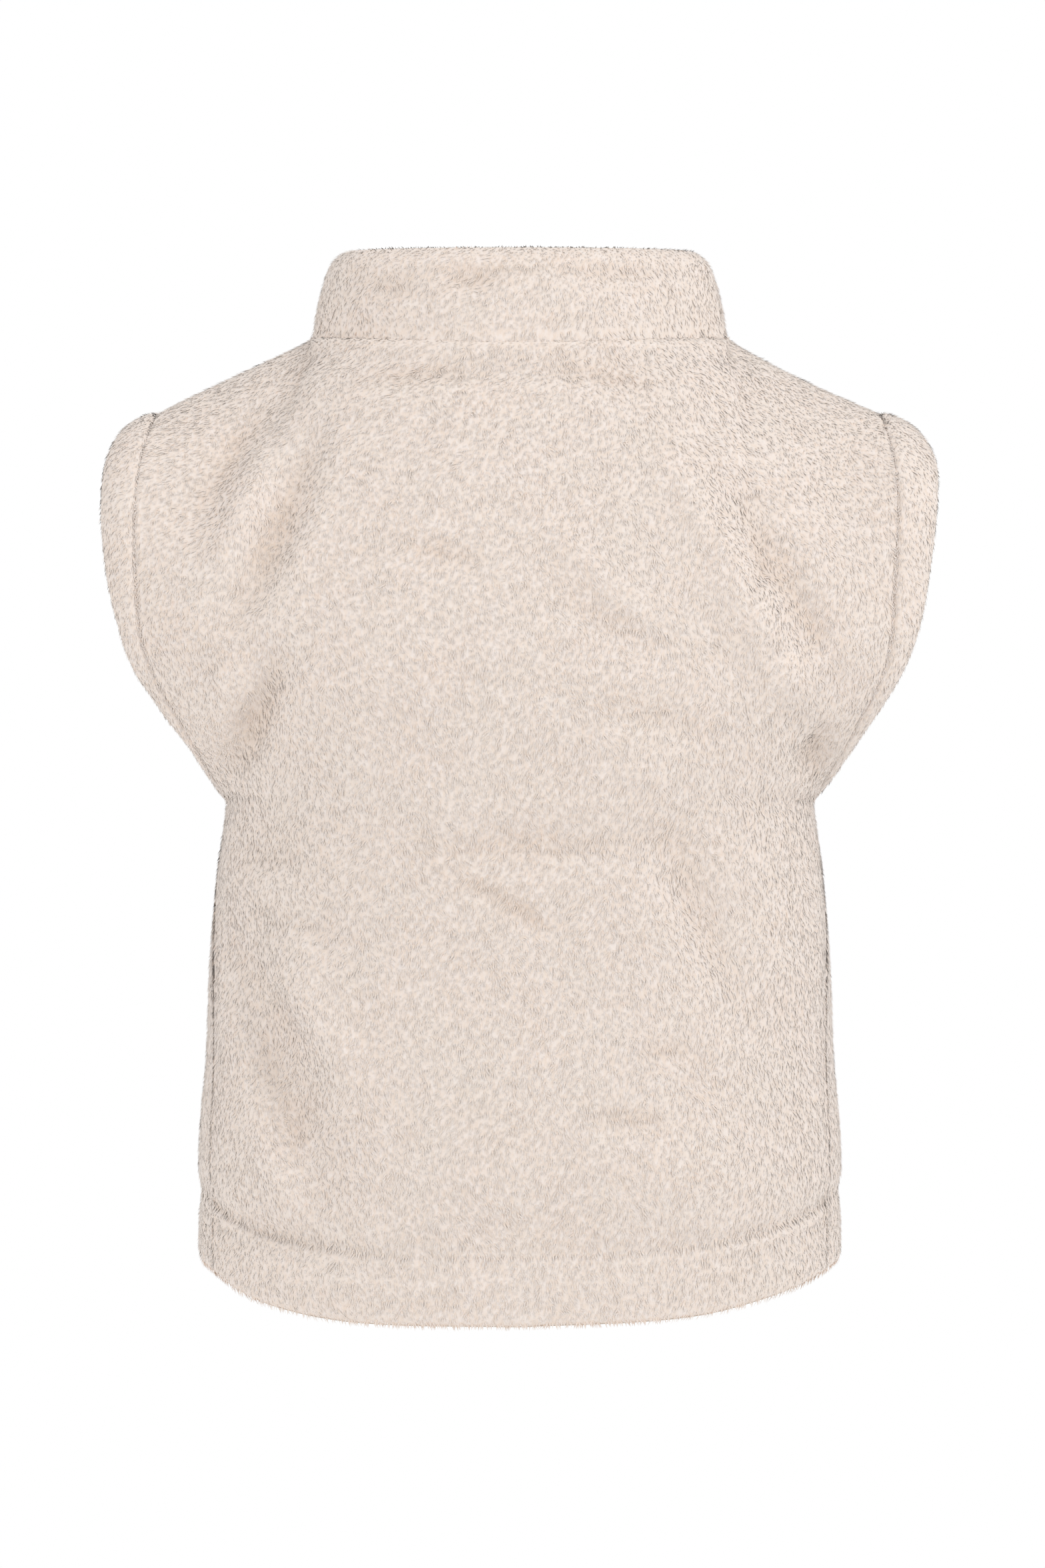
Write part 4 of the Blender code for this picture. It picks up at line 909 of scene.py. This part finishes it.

    # marks for the finish: place along, tone (random, plus painted light on ridges), how warm and dark
    # (parted pile, random clouds, and painted shade in troughs), and the strands' number
    marks = np.zeros((count, 4, 4))
    marks[:, 3, 0] = 1.0
    hollow = blended(weights, pile["hollow"][corners])
    tone = 0.5 + fur["tuftTone"] * (tuftTone[tuft] - 0.5) + fur["lockTone"] * (dice.random(count) - 0.5)
    marks[:, :, 1] = np.clip(tone - hollows["light"] * np.minimum(hollow, 0.0), 0, 1)[:, None]
    warmingAndPaintedShade = hollows["parted"] * parted + hollows["warmth"] * np.maximum(hollow, 0.0)
    warmingAndPaintedShade = warmingAndPaintedShade + fur["cloudy"] * slowNoise(tips, fur["cloudSize"], fur["cloudSeed"])
    marks[:, :, 2] = np.clip(warmingAndPaintedShade, 0, 1)[:, None]
    marks[:, :, 3] = dice.random(count)[:, None] + strandStarts[None, :]
    mesh.attributes.new("lock", "FLOAT_COLOR", "POINT").data.foreach_set("color", marks.ravel())
    mesh.materials.append(finishes[cloth["slot"]])
    mesh.shade_smooth()

    # how the locks catch the light: mostly as the cloth does, the loose ones and the sides less so
    tilt = dice.normal(size=(count, 3)) * fur["lockTilt"]
    tuftTilt = (fur["tuftTilt"] + fur["partedTilt"] * parted)[:, None]
    tilt += dice.normal(size=(tuftCount, 3))[tuft] * tuftTilt
    normals[:, 2] = np.where(underHem > 0, np.maximum(normals[:, 2], fur["hemFacing"]), normals[:, 2])
    softness = np.where(loose, fur["looseSoftness"], fur["softNormal"])
    softness = (softness * (1 - fur["hemHardness"] * underHem))[:, None, None]
    ends = points[faces].reshape(count * 4, 3, 3)
    own = unitRows(np.cross(ends[:, 1] - ends[:, 0], ends[:, 2] - ends[:, 0])).reshape(count, 4, 3)
    sideways = 1 - np.abs(np.sum(own * normals[:, None, :], axis=2, keepdims=True))
    softness = softness * (1 - fur["sideHardness"] * sideways)
    facing = softness * (normals + tilt)[:, None, :] + (1 - softness) * own
    mesh.normals_split_custom_set(unitRows(np.repeat(facing, 3, axis=1).reshape(-1, 3)))
    piece = bpy.data.objects.new(pieceName, mesh)
    bpy.context.scene.collection.objects.link(piece)
    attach(piece, "vest")
    settings["piece"] = piece
    print("vest:", pieceName, count, "locks")


for pieceName, settings in furPieces.items():
    addFur(pieceName, settings)


# Zip: woven tape, teeth joined from one modelled tooth, slider, pull tab and bottom box
zipTeeth = {
    "pitch": 0.0026,
    "reach": 0.0031,
    "overlap": 0.0005,
    "length": 0.00125,
    "height": 0.0011,
    "lift": 0.30,              # share of the height that stands over the tape
    "bevel": 0.16,
    "taper": 0.22,
    "from": -0.5770,
    "to": -0.0090,
    "lookStep": 0.0005,
    "lookAhead": 0.003,
    "lookFrom": -0.4,
}


def zipLine():
    # evenly spaced places up the tape's outer side, with the outward and upward directions there
    tree = solidTree("zip_tape")
    path = []
    for z in np.arange(zipTeeth["from"], zipTeeth["to"], zipTeeth["lookStep"]):
        hit = tree.ray_cast(Vector((0.0, zipTeeth["lookFrom"], z)), Vector((0.0, 1.0, 0.0)))
        if hit[0] is not None:
            path.append(np.array(hit[0]))
    path = np.array(path)
    lengths = np.concatenate(([0.0], np.cumsum(np.linalg.norm(np.diff(path, axis=0), axis=1))))
    places = np.arange(0.0, lengths[-1], zipTeeth["pitch"] / 2)

    def along(at):
        return np.column_stack([np.interp(at, lengths, path[:, k]) for k in range(3)])

    spots = along(places)
    up = unitRows(along(places + zipTeeth["lookAhead"]) - along(places - zipTeeth["lookAhead"]))
    out = np.column_stack((np.zeros(len(up)), -up[:, 2], up[:, 1]))
    return spots, up, out


def oneTooth():
    bpy.ops.object.select_all(action="DESELECT")
    bpy.ops.mesh.primitive_cube_add(size=1.0)
    tooth = bpy.context.active_object
    bpy.ops.object.mode_set(mode="EDIT")
    bpy.ops.mesh.select_all(action="SELECT")
    bpy.ops.mesh.bevel(offset=zipTeeth["bevel"], segments=1, affect="EDGES")
    bpy.ops.object.mode_set(mode="OBJECT")
    points = readPoints(tooth.data)
    faces = [tuple(p.vertices) for p in tooth.data.polygons]
    bpy.data.objects.remove(tooth)
    return points, faces


def addTeeth():
    spots, up, out = zipLine()
    shape, shapeFaces = oneTooth()
    width = zipTeeth["reach"] + zipTeeth["overlap"]
    points, faces = [], []
    for k in range(len(spots)):
        side = 1.0 if k % 2 == 0 else -1.0
        middle = side * (zipTeeth["reach"] - zipTeeth["overlap"]) / 2
        across = np.array([1.0, 0.0, 0.0])
        taper = 1.0 - zipTeeth["taper"] * (0.5 - side * shape[:, 0])
        placed = (spots[k] + np.outer(shape[:, 0] * width + middle, across)
                  + np.outer(shape[:, 1] * zipTeeth["length"] * taper, up[k])
                  + np.outer((shape[:, 2] + zipTeeth["lift"]) * zipTeeth["height"], out[k]))
        start = len(points) * len(shape)
        points.append(placed)
        faces.extend(tuple(start + i for i in face) for face in shapeFaces)
    mesh = bpy.data.meshes.new("zipTeeth")
    mesh.from_pydata([tuple(p) for p in np.concatenate(points)], [], faces)
    mesh.materials.append(finishes["zip_metal"])
    piece = bpy.data.objects.new("zipTeeth", mesh)
    bpy.context.scene.collection.objects.link(piece)
    onlySelect(piece)
    bpy.ops.object.mode_set(mode="EDIT")
    bpy.ops.mesh.select_all(action="SELECT")
    bpy.ops.mesh.normals_make_consistent(inside=False)
    bpy.ops.object.mode_set(mode="OBJECT")
    bpy.ops.object.shade_smooth_by_angle(angle=math.radians(30))
    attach(piece, "vest")
    print("vest: zip teeth", len(spots))


addTeeth()
for nodeName, finish in (("zip_tape", "zip_cloth"), ("zip_slider", "zip_metal"),
                         ("zip_pull", "zip_metal"), ("zip_box", "zip_metal")):
    for k in range(len(nodes[nodeName].material_slots)):
        nodes[nodeName].material_slots[k].material = finishes[finish]
# Studio: pale floor, white surroundings, one soft light from the upper right and a weak one opposite
studio = {
    "surroundings": 0.66,
    "keyPlace": (-2.6, 1.9, 1.9),
    "keySize": 2.4,
    "keyPower": 50.0,
    "fillPlace": (2.6, 2.2, 0.2),
    "fillSize": 2.0,
    "fillPower": 20.0,
    "lightsLookAt": (0.0, 0.0, -0.27),
    "floorHeight": -1.30,
    "floorSize": 6.0,
    "floorColour": (0.95, 0.95, 0.95, 1.0),
    "floorRoughness": 0.9,
    "cameraPlace": (-0.0017, 3.0, -0.2743),
    "lens": 72.09,
    "sensorHeight": 24.0,
}


def addSurroundings():
    world = bpy.data.worlds.new("studioSurroundings")
    world.use_nodes = True
    background = world.node_tree.nodes["Background"]
    background.inputs["Color"].default_value = (1.0, 1.0, 1.0, 1.0)
    rays = addNode(world.node_tree, "ShaderNodeLightPath")
    seen = rays.outputs["Is Camera Ray"]       # the backdrop itself stays white
    strength = mapTo(world.node_tree, seen, 0.0, 1.0, studio["surroundings"], 1.0)
    world.node_tree.links.new(strength, background.inputs["Strength"])
    bpy.context.scene.world = world


def addFloor():
    bpy.ops.object.select_all(action="DESELECT")
    place = (0.0, 0.0, studio["floorHeight"])
    bpy.ops.mesh.primitive_plane_add(size=studio["floorSize"], location=place)
    floor = bpy.context.active_object
    floor.name = "paleFloor"
    material, _, shader = newMaterial("paleFloorPaint")
    shader.inputs["Base Color"].default_value = studio["floorColour"]
    shader.inputs["Roughness"].default_value = studio["floorRoughness"]
    floor.data.materials.append(material)


def addLights():
    target = Vector(studio["lightsLookAt"])
    for name in ("key", "fill"):
        light = bpy.data.lights.new(name + "Light", "AREA")
        light.shape = "DISK"
        light.size = studio[name + "Size"]
        light.energy = studio[name + "Power"]
        lamp = bpy.data.objects.new(name + "Light", light)
        lamp.location = studio[name + "Place"]
        lamp.rotation_euler = (Vector(lamp.location) - target).to_track_quat("Z", "Y").to_euler()
        bpy.context.scene.collection.objects.link(lamp)


def addCamera():
    camera = bpy.data.objects.new("camera", bpy.data.cameras.new("camera"))
    camera.data.sensor_fit = "VERTICAL"
    camera.data.sensor_height = studio["sensorHeight"]
    camera.data.lens = studio["lens"]
    camera.location = studio["cameraPlace"]
    camera.rotation_euler = (math.pi / 2, 0.0, math.pi)
    bpy.context.scene.collection.objects.link(camera)
    bpy.context.scene.camera = camera


addSurroundings()
addFloor()
addLights()
addCamera()
bpy.context.scene.view_settings.view_transform = "Standard"
print("vest: studio set")
